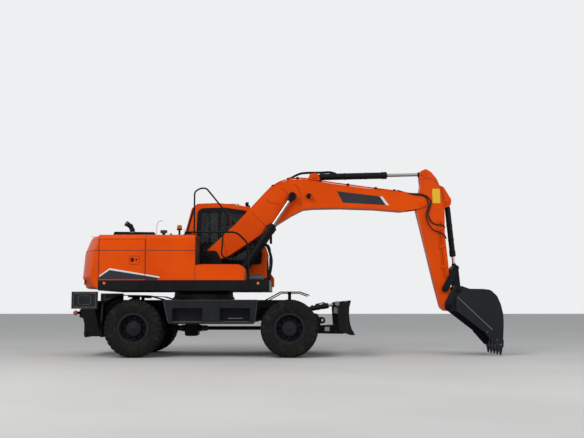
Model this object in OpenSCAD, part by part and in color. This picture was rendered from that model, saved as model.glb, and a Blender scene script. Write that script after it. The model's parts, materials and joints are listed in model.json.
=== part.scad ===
// Wheeled excavator in the 14 to 15 tonne class, parked with its bucket on the ground.
// Millimetres. X runs forward to the bucket, Y to the left, Z up from the ground.
// Places along X are counted from the swing axis, and the whole machine is then
// shifted so that the origin lies under the middle of its length.

/* [Wheels and axles] */
// Front axle ahead of the swing axis
front_axle_x = 1650; // [1600:5:1720]
// Rear axle behind the swing axis
rear_axle_x = -1150; // [-1180:5:-1120]
// Radius over the tread of a tyre
tyre_r = 520; // [500:1:530]
// Width of one tyre
tyre_w = 278; // [250:1:290]
// Number of lugs on each shoulder of a tyre
lug_count = 32; // [24:1:36]
// Height of the lugs
lug_h = 22; // [12:1:28]
// Air gap between the twin tyres
twin_gap = 40; // [30:1:60]
// Overall width over the outer tyres
width_over_tyres = 2490; // [2440:2:2500]
// Radius of the rim seat, under a 20 inch tyre
rim_seat_r = 254; // [248:0.5:258]
// Width of one rim
rim_w = 220; // [200:2:230]
// Radius of the planetary hub
hub_r = 156; // [140:1:165]
// Distance from the middle to a steering pivot
kingpin_y = 700; // [690:1:710]
// Radius of a wheel spindle
spindle_r = 70; // [55:1:80]

/* [Chassis] */
// Height of the top of the chassis
chassis_top = 1035; // [1025:1:1050]
// Height of the underside of the chassis beam
chassis_bottom = 640; // [620:5:680]
// Half width of the chassis beam between the wheels
beam_half_w = 300; // [260:5:320]
// Half width of the middle of the chassis
middle_half_w = 640; // [600:5:642]
// Outer radius of the swing bearing
ring_r = 590; // [560:5:600]
// Distance from the middle to the outer face of the step boxes
box_half_w = 1200; // [1150:5:1215]

/* [Blade] */
// Width of the blade
blade_w = 2500; // [2450:5:2520]
// Blade hinge ahead of the swing axis
blade_hinge_x = 2164; // [2150:1:2190]
// Height of the blade hinge
blade_hinge_z = 470; // [460:1:490]

/* [Outriggers] */
// Outrigger hinge from the middle
leg_hinge_y = 430; // [420:1:450]
// Height of the outrigger hinge
leg_hinge_z = 420; // [410:1:440]
// Length of an outrigger between its pins
leg_len = 880; // [860:1:885]
// Angle of a raised outrigger over the horizontal
leg_angle = 42; // [41:0.5:43]

/* [Upper structure] */
// Underside of the revolving frame
deck_bottom = 1197; // [1194:1:1205]
// Top of the deck
deck_top = 1384; // [1375:1:1390]
// Half width of the upper structure
upper_half_w = 1240; // [1220:1:1240]
// Radius of the tail about the swing axis
tail_r = 2280; // [2250:5:2320]
// Top of the engine housing and the counterweight
hood_top_z = 2205; // [2180:5:2230]
// Thickness of the sheet panels and doors
panel_t = 35; // [25:1:40]

/* [Cab] */
// Right face of the cab
cab_right_y = 345; // [342:1:360]
// Thickness of the cab walls and posts
cab_wall = 45; // [35:1:50]
// Thickness of the cab panes
pane_t = 6; // [4:0.5:8]

/* [Boom] */
// Boom length from the foot pin to the nose pin
boom_len = 4200; // [4150:5:4250]
// Angle of the boom at rest
boom_angle = 14.1; // [13.5:0.1:15]
// Half width of the boom
boom_half_w = 180; // [170:1:181]
// Boom foot pin ahead of the swing axis
foot_x = 129; // [120:1:140]
// Height of the boom foot pin
foot_z = 1866; // [1860:1:1880]

/* [Arm and bucket] */
// Arm length from the nose pin to the bucket pin
arm_len = 2038; // [2020:1:2050]
// Angle of the arm at rest
arm_angle = -76.4; // [-77:0.1:-75.5]
// Half width of the arm
arm_half_w = 144.7; // [138:0.1:144.7]
// Width of the bucket
bucket_w = 1150; // [1000:10:1250]
// Thickness of the bucket's side plates
bucket_side_t = 30; // [20:1:40]
// Number of bucket teeth
tooth_count = 5; // [3:1:6]

/* [Hidden] */
$fn = 48;

// Colours of the machine
orange = "#e4531a";
charcoal = "#2b2d30";
black = "#1b1c1e";
tyre_black = "#222224";
chrome = "#c9ccd0";
pane_tint = "#5a6b70";
amber = "#ff8c1a";
red = "#c8321e";
steel = "#55585c";

// Seat gap between pieces that rest on each other, and gap round a door or lid
seat_gap = 0.3;
door_gap = 5;
// Radial clearance of a pin in its bore, and of a rod in its barrel
pin_clear = 0.05;
rod_clear = 0.5;

// Points of the working arm, worked out from its lengths and angles
function turned(p, a) = [p[0] * cos(a) - p[1] * sin(a), p[0] * sin(a) + p[1] * cos(a)];
foot = [foot_x, foot_z];
nose = foot + turned([boom_len, 0], boom_angle);
bucket_pin = nose + turned([arm_len, 0], arm_angle);
bucket_reach = 949;
front_reach = bucket_pin[0] + bucket_reach;
mid_x = (front_reach - tail_r) / 2;

// Pins in the boom's own frame, along the line from foot to nose
boom_boss = [1807, 731];
arm_base = [2320, 1021];
// Pins in the arm's own frame, along the line from nose pin to bucket pin
arm_eye = [-556, 184];
bucket_base = [85, 500];
guide_pin = [arm_len - 341, 19];
link_joint = [arm_len - 679, 316];
ear_pin = [arm_len - 266, 251];

function on_boom(p) = foot + turned(p, boom_angle);
function on_arm(p) = nose + turned(p, arm_angle);

// Boom cylinders
boom_cyl_base = [672, 1470];
boom_cyl_y = 262;
boom_barrel_r = 64;
boom_rod_r = 36;
boom_barrel_len = 1180;
boom_eye_half = 50;

// Outlines

function unit(v) = v / norm(v);
// Points of one rounded corner at p between the directions u and v
function corner(p, u, v, r, steps) =
    let (half = acos(max(-1, min(1, u * v))) / 2,
        mid = p + unit(u + v) * r / sin(half),
        a = p + u * r / tan(half),
        b = p + v * r / tan(half),
        start = atan2(a[1] - mid[1], a[0] - mid[0]),
        stop = atan2(b[1] - mid[1], b[0] - mid[0]),
        raw = stop - start,
        turn = raw > 180 ? raw - 360 : (raw < -180 ? raw + 360 : raw))
    [for (k = [0:steps]) mid + r * [cos(start + turn * k / steps), sin(start + turn * k / steps)]];
// A closed outline from a table with the columns first place, second place, corner radius
function rounded(table, steps = 4) =
    let (n = len(table), p = [for (row = table) [row[0], row[1]]])
    [for (i = [0:n - 1]) each (table[i][2] == 0 ? [p[i]]
        : corner(p[i], unit(p[(i + n - 1) % n] - p[i]), unit(p[(i + 1) % n] - p[i]), table[i][2], steps))];
function ring_points(r, count, from, to) =
    [for (k = [0:count]) let (a = from + (to - from) * k / count) [r * cos(a), r * sin(a)]];

// Building helpers

module on_machine() { translate([-mid_x, 0, 0]) children(); }
module both_sides() { children(); mirror([0, 1, 0]) children(); }
// An outline in X and Z, drawn between two places along Y
module plate(outline, y0, y1) {
    translate([0, y1, 0]) rotate([90, 0, 0]) linear_extrude(y1 - y0) polygon(outline);
}
// An outline in X and Y, drawn between two heights
module slab(outline, z0, z1) { translate([0, 0, z0]) linear_extrude(z1 - z0) polygon(outline); }
// An outline in Y and Z, drawn between two places along X
module section(outline, x0, x1) {
    translate([x0, 0, 0]) rotate([90, 0, 90]) linear_extrude(x1 - x0) polygon(outline);
}
module block(x, y, z) { translate([x[0], y[0], z[0]]) cube([x[1] - x[0], y[1] - y[0], z[1] - z[0]]); }
module pin_y(p, r, y0, y1) { translate([p[0], y1, p[1]]) rotate([90, 0, 0]) cylinder(r = r, h = y1 - y0); }
module pin_x(y, z, r, x0, x1) { translate([x0, y, z]) rotate([0, 90, 0]) cylinder(r = r, h = x1 - x0); }
module pin_z(x, y, r, z0, z1) { translate([x, y, z0]) cylinder(r = r, h = z1 - z0); }
// A round bar in the X and Z plane from p towards q, between two distances from p
module bar(p, q, y, r, from, to) {
    a = atan2(q[1] - p[1], q[0] - p[0]);
    translate([p[0], y, p[1]]) rotate([0, 90 - a, 0]) translate([0, 0, from]) cylinder(r = r, h = to - from);
}
// A tube bent through a list of points in space
module tube(points, r, sides = 48) {
    for (i = [0:len(points) - 2]) {
        d = points[i + 1] - points[i];
        translate(points[i]) rotate([0, acos(d[2] / norm(d)), atan2(d[1], d[0])]) cylinder(r = r, h = norm(d), $fn = sides);
    }
    for (i = [1:1:len(points) - 2]) translate(points[i]) sphere(r = r * 1.06, $fn = sides);
}
module boom_frame() { translate([foot[0], 0, foot[1]]) rotate([0, -boom_angle, 0]) children(); }
module arm_frame() { translate([nose[0], 0, nose[1]]) rotate([0, -arm_angle, 0]) children(); }
module bucket_frame() { translate([bucket_pin[0], 0, bucket_pin[1]]) children(); }

// A cylinder barrel with its eye at p, reaching len towards q
module barrel(p, q, y, r, bore_r, len, eye_r, eye_half, pin_r, neck) {
    difference() {
        union() {
            pin_y(p, eye_r, y - eye_half, y + eye_half);
            bar(p, q, y, r, neck, len);
            bar(p, q, y, min(r, eye_half) * 0.8, 0, neck + 1);
            bar(p, q, y, r + 6, len - 90, len);
        }
        pin_y(p, pin_r + pin_clear, y - eye_half - 1, y + eye_half + 1);
        bar(p, q, y, bore_r + rod_clear, neck + 40, len + 1);
    }
}
// The rod of a cylinder whose barrel eye is at p, with its own eye at q
module rod(p, q, y, r, from, eye_r, eye_half) {
    reach = norm(q - p);
    union() {
        pin_y(q, eye_r, y - eye_half, y + eye_half);
        bar(p, q, y, r, from, reach - eye_r / 2);
    }
}

// Undercarriage

outer_tyre_y = (width_over_tyres - tyre_w) / 2;
inner_tyre_y = outer_tyre_y - tyre_w - twin_gap;
axle_z = tyre_r;
spindle_end = outer_tyre_y - 150;
disc_y = outer_tyre_y - 95;

module chassis_frame() {
    color(charcoal) on_machine() difference() {
        union() {
            // Long beam with its front end and rear end
            plate(rounded([[-1850, 372, 0], [-1850, 1000, 0], [-1780, chassis_top, 0],
                [1780, chassis_top, 40], [1860, 790, 40], [2180, 780, 60], [2235, 640, 60], [2235, 470, 70],
                [2120, 395, 60], [2010, 430, 60], [1960, chassis_bottom, 60], [-1480, chassis_bottom, 60],
                [-1700, 470, 60], [-1760, 372, 30]]), -beam_half_w, beam_half_w);
            // Wide middle that carries the swing bearing and the step boxes
            slab(rounded([[-560, -middle_half_w, 60], [880, -middle_half_w, 60], [1120, -beam_half_w, 0],
                [1120, beam_half_w, 0], [880, middle_half_w, 60], [-560, middle_half_w, 60],
                [-700, beam_half_w, 0], [-700, -beam_half_w, 0]]), chassis_bottom + 60, chassis_top - 5);
            pin_z(0, 0, ring_r - 10, chassis_top - 60, chassis_top);
            // Rear cross box that carries the outriggers between two plates
            for (x = [leg_x[0] - 41, leg_x[1] + 1]) section(rounded([[-540, 340, 60], [540, 340, 60], [540, 560, 60],
                [420, 1020, 60], [-420, 1020, 60], [-540, 560, 60]]), x, x + 40);
            block([leg_x[0] - 20, -1840], [-380, 380], [986, 1020]);
            block([leg_x[0] - 20, -1840], [-60, 60], [360, 1000]);
            both_sides() pin_x(leg_cyl_base[0], leg_cyl_base[1], 28, leg_x[0] - 30, leg_x[1] + 30);
            // Rear lamp brackets
            both_sides() block([-2205, -2165], [450, 700], [700, 900]);
            // Lugs of the blade cylinders, with their pins
            both_sides() {
                plate(rounded([[1890, 760, 0], [2050, 760, 0], [2020, 910, 60], [1900, 910, 60]]), 60, 99.7);
                pin_y(blade_cyl_base, 30, 90, 206);
                pin_y([blade_hinge_x, blade_hinge_z], 35, beam_half_w - 10, beam_half_w + 102);
                // Tie-down eyes at the front
                plate(rounded([[2200, 590, 0], [2330, 590, 50], [2330, 710, 50], [2180, 710, 0]]), 200, 230);
            }
            // Towing eye at the rear
            slab(rounded([[-2278, -60, 55], [-2278, 60, 55], [-2040, 90, 0], [-2040, -90, 0]]), 600, 640);
        }
        // Saddles for the axles, and the holes of the eyes
        block([rear_axle_x - 180, rear_axle_x + 180], [-beam_half_w - 1, beam_half_w + 1], [300, saddle_z[0]]);
        block([front_axle_x - 180, front_axle_x + 180], [-beam_half_w - 1, beam_half_w + 1], [300, saddle_z[1]]);
        both_sides() pin_y([tie_eye_x, 650], 28, 190, 240);
        pin_z(tow_eye_x, 0, 27, 590, 650);
        // Bores of the outrigger hinges are in their plates
        both_sides() pin_x(leg_hinge_y, leg_hinge_z, 30 + pin_clear, leg_x[0] - 60, leg_x[1] + 60);
    }
}
// Undersides of the beam over the rear and the front axle
saddle_z = [715, 695];
blade_cyl_base = [1960, 850];
tie_eye_x = 2282;
tow_eye_x = -2225;

module slew_ring() {
    color(steel) on_machine() rotate_extrude($fn = 96)
        polygon([[ring_r - 130, chassis_top], [ring_r, chassis_top], [ring_r, chassis_top + 40],
            [ring_r - 25, chassis_top + 46], [ring_r - 25, 1134.7], [ring_r - 130, 1134.7]]);
}

module front_axle() {
    color(black) on_machine() translate([front_axle_x, 0, axle_z]) difference() {
        union() {
            section(rounded([[-590, -75, 20], [-260, -110, 60], [260, -110, 60], [590, -75, 20],
                [590, 75, 20], [260, 118, 60], [-260, 118, 60], [-590, 75, 20]]), -95, 95);
            translate([-150, 0, 0]) rotate([0, 90, 0]) cylinder(r = 165, h = 300);
            // Centre pivot that carries the axle under the chassis
            block([-120, 120], [-90, 90], [100, saddle_z[1] - axle_z - seat_gap]);
            // Forks that hold the steering knuckles
            both_sides() for (s = [-1, 1]) {
                slab(rounded([[-70, 560, 0], [70, 560, 0], [60, kingpin_y + 55, 50], [-60, kingpin_y + 55, 50]]),
                    s * 167 - 22, s * 167 + 22);
                block([-70, 70], [540, 590], [min(s * 60, s * 189), max(s * 60, s * 189)]);
            }
            both_sides() pin_z(0, kingpin_y, 26, -189, 189);
        }
    }
}

module rear_axle() {
    color(black) on_machine() translate([rear_axle_x, 0, axle_z]) union() {
        section(rounded([[-640, -85, 20], [-260, -120, 60], [260, -120, 60], [640, -85, 20],
            [640, 85, 20], [260, 130, 60], [-260, 130, 60], [-640, 85, 20]]), -100, 100);
        translate([-170, 0, 0]) rotate([0, 90, 0]) cylinder(r = 185, h = 340);
        block([-110, 110], [-220, 220], [80, saddle_z[0] - axle_z - seat_gap]);
        both_sides() {
            pin_y([0, 0], 150, 600, 765);
            pin_y([0, 0], spindle_r, 700, spindle_end - 5);
        }
    }
}

module driveline() {
    color(black) on_machine() union() {
        // Gearbox under the chassis, with a shaft to each axle
        plate(rounded([[-345, 352, 50], [-87, 352, 50], [-87, 560, 30], [-130, chassis_bottom - 0.3, 0],
            [-302, chassis_bottom - 0.3, 0], [-345, 560, 30]]), -160, 160);
        pin_x(0, 500, 62, -420, -340);
        pin_x(0, 500, 62, -90, -20);
        pin_x(0, 500, 36, rear_axle_x + 170.3, -400);
        pin_x(0, 500, 36, -40, front_axle_x - 150.3);
        for (x = [rear_axle_x + 260, -450, 40, front_axle_x - 240]) pin_x(0, 500, 52, x - 35, x + 35);
    }
}

step_z = [642, 881];
module step_boxes() {
    color(charcoal) on_machine() both_sides() difference() {
        plate(rounded([[-531, 615, 30], [1034, 615, 30], [1096, chassis_top, 25], [-626, chassis_top, 25]]),
            middle_half_w, box_half_w);
        for (x = [[-449, 88], [403, 938]]) {
            block(x, [box_half_w - 190, box_half_w + 1], step_z);
        }
        // Front end follows the sweep of the steered tyres
        pin_z(front_axle_x, kingpin_y, norm([tyre_r, outer_tyre_y + tyre_w / 2 - kingpin_y]) + 12, 600, 1050, $fn = 180);
    }
}

fender_t = 12;
module fender(points) {
    n = len(points);
    plate(concat(points, [for (i = [n - 1:-1:0]) points[i] - [0, fender_t]]),
        inner_tyre_y - tyre_w / 2 - 9, width_over_tyres / 2);
}
module fenders() {
    color(black) on_machine() both_sides() union() {
        fender([[-1697, 978], [-1410, 1123], [-897, 1114], [-641, 1042]]);
        block([-1250, -1190], [beam_half_w - 60, 1180], [1075, 1112]);
        block([-1250, -1190], [beam_half_w - 60, beam_half_w], [chassis_top, 1100]);
        fender([[1184, 1015], [1488, 1180], [1838, 1180], [2010, 1120]]);
        block([1620, 1680], [beam_half_w - 60, 1180], [1130, 1172]);
        block([1620, 1680], [beam_half_w - 60, beam_half_w], [chassis_top, 1160]);
    }
}

module tail_lamps() {
    color(red) on_machine() both_sides()
        translate([-2225, 0, 0]) section(rounded([[470, 730, 15], [680, 730, 15], [680, 845, 15], [470, 845, 15]]), 0, 20);
}

module knuckle() {
    difference() {
        union() {
            plate(rounded([[-85, -143, 40], [85, -143, 40], [85, 143, 40], [-85, 143, 40]]), kingpin_y - 68, kingpin_y + 68);
            pin_y([0, 0], 140, kingpin_y + 40, kingpin_y + 68);
            pin_y([0, 0], spindle_r, kingpin_y, spindle_end - 5);
        }
        pin_z(0, kingpin_y, 26 + pin_clear, -150, 150);
    }
}
module knuckle_left() { color(black) on_machine() translate([front_axle_x, 0, axle_z]) knuckle(); }
module knuckle_right() { color(black) on_machine() translate([front_axle_x, 0, axle_z]) mirror([0, 1, 0]) knuckle(); }

// One side's pair of rims with the planetary hub, turned about the Y axis
module rim_pair() {
    out = [outer_tyre_y - rim_w / 2, outer_tyre_y + rim_w / 2];
    inn = [inner_tyre_y - rim_w / 2, inner_tyre_y + rim_w / 2];
    lip = 31;
    drum = rim_seat_r - 14;
    hub_in = kingpin_y + 75;
    rotate([-90, 0, 0]) difference() {
        rotate_extrude($fn = 72) polygon([
            [drum, inn[0]], [rim_seat_r + lip, inn[0]], [rim_seat_r + lip, inn[0] + 12], [rim_seat_r, inn[0] + 20],
            [rim_seat_r, inn[1] - 20], [rim_seat_r + lip, inn[1] - 12], [rim_seat_r + lip, inn[1]], [rim_seat_r, inn[1]],
            [rim_seat_r, out[0]], [rim_seat_r + lip, out[0]], [rim_seat_r + lip, out[0] + 12], [rim_seat_r, out[0] + 20],
            [rim_seat_r, out[1] - 20], [rim_seat_r + lip, out[1] - 12], [rim_seat_r + lip, out[1]], [drum + 4, out[1]],
            [drum, disc_y + 60], [drum - 30, disc_y + 14], [hub_r + 30, disc_y], [hub_r, disc_y + 4], [hub_r, outer_tyre_y - 20],
            [hub_r - 25, outer_tyre_y + 10], [60, outer_tyre_y + 22], [0, outer_tyre_y + 22], [0, spindle_end + 5],
            [spindle_r + pin_clear, spindle_end + 5], [spindle_r + pin_clear, hub_in], [hub_r - 10, hub_in],
            [hub_r - 10, disc_y - 60], [hub_r + 30, disc_y - 14], [drum - 20, disc_y - 2], [drum, disc_y + 10 - 50]]);
        // Hand holes through the disc
        for (a = [0:45:359]) rotate([0, 0, a]) translate([drum - 22, 0, disc_y - 40])
            cylinder(r = 15, h = 120, $fn = 24);
    }
}
module wheel_at(x, side) {
    on_machine() translate([x, 0, axle_z]) mirror([0, side < 0 ? 1 : 0, 0]) children();
}
module rim_front_left() { color(charcoal) wheel_at(front_axle_x, 1) rim_pair(); }
module rim_front_right() { color(charcoal) wheel_at(front_axle_x, -1) rim_pair(); }
module rim_rear_left() { color(charcoal) wheel_at(rear_axle_x, 1) rim_pair(); }
module rim_rear_right() { color(charcoal) wheel_at(rear_axle_x, -1) rim_pair(); }

// One tyre, from the bead to the tread, turned about the Y axis
module tyre(y) {
    bead = rim_seat_r + seat_gap;
    half = tyre_w / 2;
    pitch = 360 / lug_count;
    floor_r = tyre_r - lug_h;
    translate([0, y, 0]) rotate([-90, 0, 0]) difference() {
        rotate_extrude($fn = 96) polygon(rounded([
        [bead, -rim_w / 2 + 20.4, 0], [bead + 34, -rim_w / 2 + 12.4, 0], [bead + 34, -rim_w / 2 - 4, 0],
        [bead + 95, -half, 50], [tyre_r - 90, -half, 40], [tyre_r, -half + 22, 24],
        [tyre_r, half - 22, 24], [tyre_r - 90, half, 40], [bead + 95, half, 50],
        [bead + 34, rim_w / 2 + 4, 0], [bead + 34, rim_w / 2 - 12.4, 0], [bead, rim_w / 2 - 20.4, 0]], 3));
        // Grooves between the lugs of the two shoulders, which are set half a pitch apart
        for (s = [-1, 1], k = [0:lug_count - 1])
            rotate([0, 0, pitch * (k + (s > 0 ? 0 : 0.5))]) rotate_extrude(angle = pitch * 0.45, $fn = 96)
                polygon([[floor_r, s * 12], [floor_r, s * (half - 44)], [floor_r - 22, s * (half - 12)],
                    [floor_r - 44, s * (half + 1)], [tyre_r + 2, s * (half + 1)], [tyre_r + 2, s * 12]]);
    }
}
module tyre_pair() { tyre(outer_tyre_y); tyre(inner_tyre_y); }
module tyres_front_left() { color(tyre_black) wheel_at(front_axle_x, 1) tyre_pair(); }
module tyres_front_right() { color(tyre_black) wheel_at(front_axle_x, -1) tyre_pair(); }
module tyres_rear_left() { color(tyre_black) wheel_at(rear_axle_x, 1) tyre_pair(); }
module tyres_rear_right() { color(tyre_black) wheel_at(rear_axle_x, -1) tyre_pair(); }

// Blade

blade_eye = [2560, 962];
blade_front = [[2753, 1021], [2722, 900], [2716, 760], [2732, 610], [2772, 480], [2825, 404]];
module blade() {
    n = len(blade_front);
    arm_y = [beam_half_w + 10, beam_half_w + 100];
    color(black) on_machine() union() {
        plate(concat(blade_front, [for (i = [n - 1:-1:0]) blade_front[i] - [26, 0]]), -blade_w / 2, blade_w / 2);
        // Closing box behind the plate, end plates and ribs
        plate([[2700, 940], [2560, 900], [2540, 780], [2700, 740]], -blade_w / 2 + 60, blade_w / 2 - 60);
        plate([[2710, 560], [2600, 540], [2600, 440], [2780, 430]], -blade_w / 2 + 60, blade_w / 2 - 60);
        both_sides() {
            plate(rounded([[2700, 1015, 20], [2753, 1021, 0], [2722, 900, 0], [2716, 760, 0], [2732, 610, 0],
                [2772, 480, 0], [2825, 404, 0], [2740, 404, 0], [2540, 470, 60], [2510, 930, 60]]),
                blade_w / 2 - 30, blade_w / 2);
            for (y = [250, 760]) plate(rounded([[2700, 1000, 0], [2710, 450, 0], [2560, 500, 40], [2560, 900, 40]]), y, y + 22);
            // Lower arms with their bores
            difference() {
                plate(rounded([[2094, 410, 60], [2640, 400, 0], [2720, 420, 0], [2720, 640, 0], [2560, 560, 60],
                    [2094, 540, 60]]), arm_y[0], arm_y[1]);
                pin_y([blade_hinge_x, blade_hinge_z], 35 + pin_clear, arm_y[0] - 1, arm_y[1] + 1);
            }
            // Ears beside the eyes of the blade rods
            plate(rounded([[2700, 1010, 0], [2700, 800, 0], [2520, 905, 40], [2520, 1005, 40]]), 60, 99.7);
        }
    }
}
module blade_barrels() {
    color(black) on_machine() both_sides()
        barrel(blade_cyl_base, blade_eye, 150, 46, 28, 420, 56, 49.7, 30, 75);
}
module blade_rods() {
    color(chrome) on_machine() both_sides() rod(blade_cyl_base, blade_eye, 150, 28, 160, 46, 49.7);
}

// Outriggers

leg_x = [-2129, -1881];
leg_end = [leg_hinge_y, leg_hinge_z] + turned([leg_len, 0], leg_angle);
leg_cyl_base = [150, 930];
leg_cyl_eye = [leg_hinge_y, leg_hinge_z] + turned([300, 70], leg_angle);
leg_cyl_x = -2005;
pad_face_y = 1245;
module outrigger() {
        union() {
            // Box beam between the hinge and the pad
            translate([0, leg_hinge_y, leg_hinge_z]) rotate([leg_angle, 0, 0]) difference() {
                section(rounded([[-62, -62, 50], [leg_len + 62, -62, 50], [leg_len + 62, 62, 50],
                    [500, 95, 60], [180, 95, 60], [-62, 62, 50]]), leg_x[0], leg_x[1]);
                // Slot in which the cylinder's rod and eye move
                section([[120, 20], [440, 20], [440, 120], [120, 120]], leg_cyl_x - 68, leg_cyl_x + 68);
            }
            // Foot plate with its ribs, its sole turned outward
            section(rounded([[pad_face_y - 30, 872, 20], [pad_face_y, 872, 8], [pad_face_y, 1178, 8],
                [pad_face_y - 30, 1178, 20]]), -2248, -1780);
            for (x = [leg_x[0] - 22, leg_x[1]]) section(rounded([[pad_face_y - 20, 890, 0], [pad_face_y - 20, 1160, 0],
                [leg_end[0] - 20, leg_end[1] + 62, 60], [leg_end[0] - 70, leg_end[1] - 40, 50]]), x, x + 22);
            pin_x(leg_hinge_y, leg_hinge_z, 30, leg_x[0] - 50, leg_x[1] + 50);
        }
}
module outrigger_left() { color(charcoal) on_machine() outrigger(); }
module outrigger_right() { color(charcoal) on_machine() mirror([0, 1, 0]) outrigger(); }
// The outrigger cylinders lie in the plane of Y and Z, so they are drawn in X and Z and turned
module leg_turn() { translate([leg_cyl_x, 0, 0]) rotate([0, 0, 90]) children(); }
module leg_barrel() {
    leg_turn() barrel(leg_cyl_base, leg_cyl_eye, 0, 45, 26, 430, 50, 45, 28, 60);
}
module leg_rod() {
    leg_turn() rod(leg_cyl_base, leg_cyl_eye, 0, 26, 102, 42, 45);
}
module leg_barrel_left() { color(black) on_machine() leg_barrel(); }
module leg_barrel_right() { color(black) on_machine() mirror([0, 1, 0]) leg_barrel(); }
module leg_rod_left() { color(chrome) on_machine() leg_rod(); }
module leg_rod_right() { color(chrome) on_machine() mirror([0, 1, 0]) leg_rod(); }

// Upper structure

deck_rear_x = -1779;
deck_front_x = 1292;
module upper_frame() {
    color(black) on_machine() union() {
        difference() {
            block([deck_rear_x, deck_front_x], [-upper_half_w, upper_half_w], [deck_bottom, deck_top]);
            // Pockets between the ribs, open below
            for (x = [[-1740, -700], [-660, -600], [640, 1250]], y = [[-1205, -640], [640, 1205]])
                block(x, y, [deck_bottom - 1, deck_top - 30]);
            block([700, 1250], [-600, -260], [deck_bottom - 1, deck_top - 30]);
            block([700, 1250], [260, 600], [deck_bottom - 1, deck_top - 30]);
            block([-1740, -700], [-600, 600], [deck_bottom - 1, deck_top - 30]);
            for (y = [[-1205, -640], [640, 1205]]) block([-560, 600], y, [deck_bottom - 1, deck_top - 30]);
        }
        // Rotating flange on the swing bearing
        pin_z(0, 0, ring_r - 30, 1135, deck_bottom + 1);
        // Boom ears with the foot pin and the cylinder pin
        both_sides() {
            plate(rounded([[-440, deck_top, 0], [-30, 1975, 90], [255, 1975, 90], [430, 1600, 80],
                [760, 1560, 70], [840, deck_top, 0]]), 155, 192);
            pin_y(foot, 85, 154.9, 205);
            pin_y(boom_cyl_base, 35, 180, boom_cyl_y + 72);
        }
        pin_y(foot, 50, -160, 160);
    }
}

module counterweight() {
    front = deck_rear_x - 5;
    color(orange) on_machine() difference() {
        union() {
        // Pad that meets the housing, set back from the seam
        block([front - 20, deck_rear_x - seat_gap], [-upper_half_w + 50, upper_half_w - 50], [1290, hood_top_z - 60]);
        intersection() {
            rotate_extrude($fn = 144) polygon(rounded([[1500, 1242, 0], [tail_r - 70, 1242, 60], [tail_r, 1450, 60],
                [tail_r - 40, 1900, 200], [tail_r - 160, hood_top_z, 110], [1500, hood_top_z, 0]]));
            slab(rounded([[front, -upper_half_w + 12, 0], [-2500, -upper_half_w + 12, 150],
                [-2500, upper_half_w - 12, 150], [front, upper_half_w - 12, 0]]), 1200, 2300);
        }
        }
        // Lifting eyes are drilled through ribs that stand in round pockets
        both_sides() pin_z(-1960, 600, 90, hood_top_z - 120, hood_top_z + 10);
    }
    color(orange) on_machine() both_sides() difference() {
        plate(rounded([[-2035, hood_top_z - 121, 0], [-1885, hood_top_z - 121, 0], [-1900, hood_top_z - 2, 40],
            [-2020, hood_top_z - 2, 40]]), 580, 620);
        pin_y([-1960, hood_top_z - 48], 27, 570, 630);
    }
}

module engine() {
    color(steel) on_machine() plate(rounded([[-1640, deck_top + 0.3, 0], [-760, deck_top + 0.3, 0], [-760, 1880, 60],
        [-900, 1990, 60], [-1500, 1990, 60], [-1640, 1850, 60]]), -420, 520);
}

housing_split_x = -933;
tank_front_x = -46;
bay_front_x = -455;
// Knuckles of the upright hinges: half height, radius, and their pocket's radius
knuckle_half = 42;
knuckle_r = 7;
knuckle_room = 11;
side_knuckles = [1500, 1760, 2020];
cab_knuckles = [1560, 2080, 2600];
module hinge_knuckles(x, heights, r, more) {
    for (z = heights) pin_z(x, upper_half_w + 0.5, r, z - knuckle_half - more, z + knuckle_half + more);
}
// Lying hinge: round knuckles on the lid, with the place of the axis and the middles along Y
module lid_knuckles(p, middles, reach) {
    for (y = middles) {
        pin_y(p, 12, y - 55, y + 55);
        block([p[0], p[0] + reach], [y - 55, y + 55], [p[1] - 9, p[1] + 9]);
    }
}
module lid_ears(p, middles, foot_z) {
    for (y = middles, s = [-1, 1]) {
        pin_y(p, 13, y + s * 66 - 6, y + s * 66 + 6);
        block([p[0] - 13, p[0] + 9], [y + s * 66 - 6, y + s * 66 + 6], [foot_z, p[1]]);
    }
}
hood_axis = [-1690, 2219.5];
hood_knuckles = [-300, 500];
tool_axis = [-28, 1665];
tool_knuckles = [-960, -700];
module housing_body() {
    w = upper_half_w;
    top = hood_top_z;
    soft = 70;
    // Engine bay across the full width
    section(rounded([[-w, deck_top + 0.3, 0], [w, deck_top + 0.3, 0], [w, top, soft], [-w, top, soft]]),
        deck_rear_x, bay_front_x);
    // Tank on the right reaches further forward
    section(rounded([[-w, deck_top + 0.3, 0], [-430, deck_top + 0.3, 0], [-430, top, 40], [-w, top, soft]]),
        bay_front_x - 1, tank_front_x);
}
module engine_housing() {
    w = upper_half_w;
    t = panel_t;
    top = hood_top_z;
    color(orange) on_machine() difference() {
        union() {
            housing_body();
            lid_ears(hood_axis, hood_knuckles, top - 1);
        }
        both_sides() hinge_knuckles(door_x[0], side_knuckles, knuckle_room, 4);
        // Engine bay
        block([deck_rear_x + t, bay_front_x - t], [-w + t + 30, w - t - 30], [deck_top - 1, top - t]);
        // Mouth under the hood lid
        block([lid_x[0] + 60, lid_x[1] - 60], [lid_y[0] + 60, lid_y[1] - 60], [top - t - 1, top + 1]);
        // Side door openings
        for (s = [-1, 1]) block([door_x[0] - door_gap, door_x[1] + door_gap],
            [min(s * (w - t - 31), s * (w + 1)), max(s * (w - t - 31), s * (w + 1))],
            [door_z[0] - door_gap, door_z[1] + door_gap]);
        // Crease along the sides
        both_sides() section([[w - 4, 1916], [w + 1, 1911], [w + 1, 1921]], housing_split_x, 0);
    }
}
door_x = [-1765, -948];
door_z = [1400, 2120];
// A door leaf in the side of the housing, with its hinge at the rear
module side_leaf() {
    w = upper_half_w;
    t = panel_t;
    union() {
        block(door_x, [w - t, w], door_z);
        block([door_x[0] + 40, door_x[1] - 60], [w - t - 20, w - t + 1], [door_z[0] + 40, door_z[1] - 40]);
        hinge_knuckles(door_x[0], side_knuckles, knuckle_r, 0);
    }
}
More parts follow.
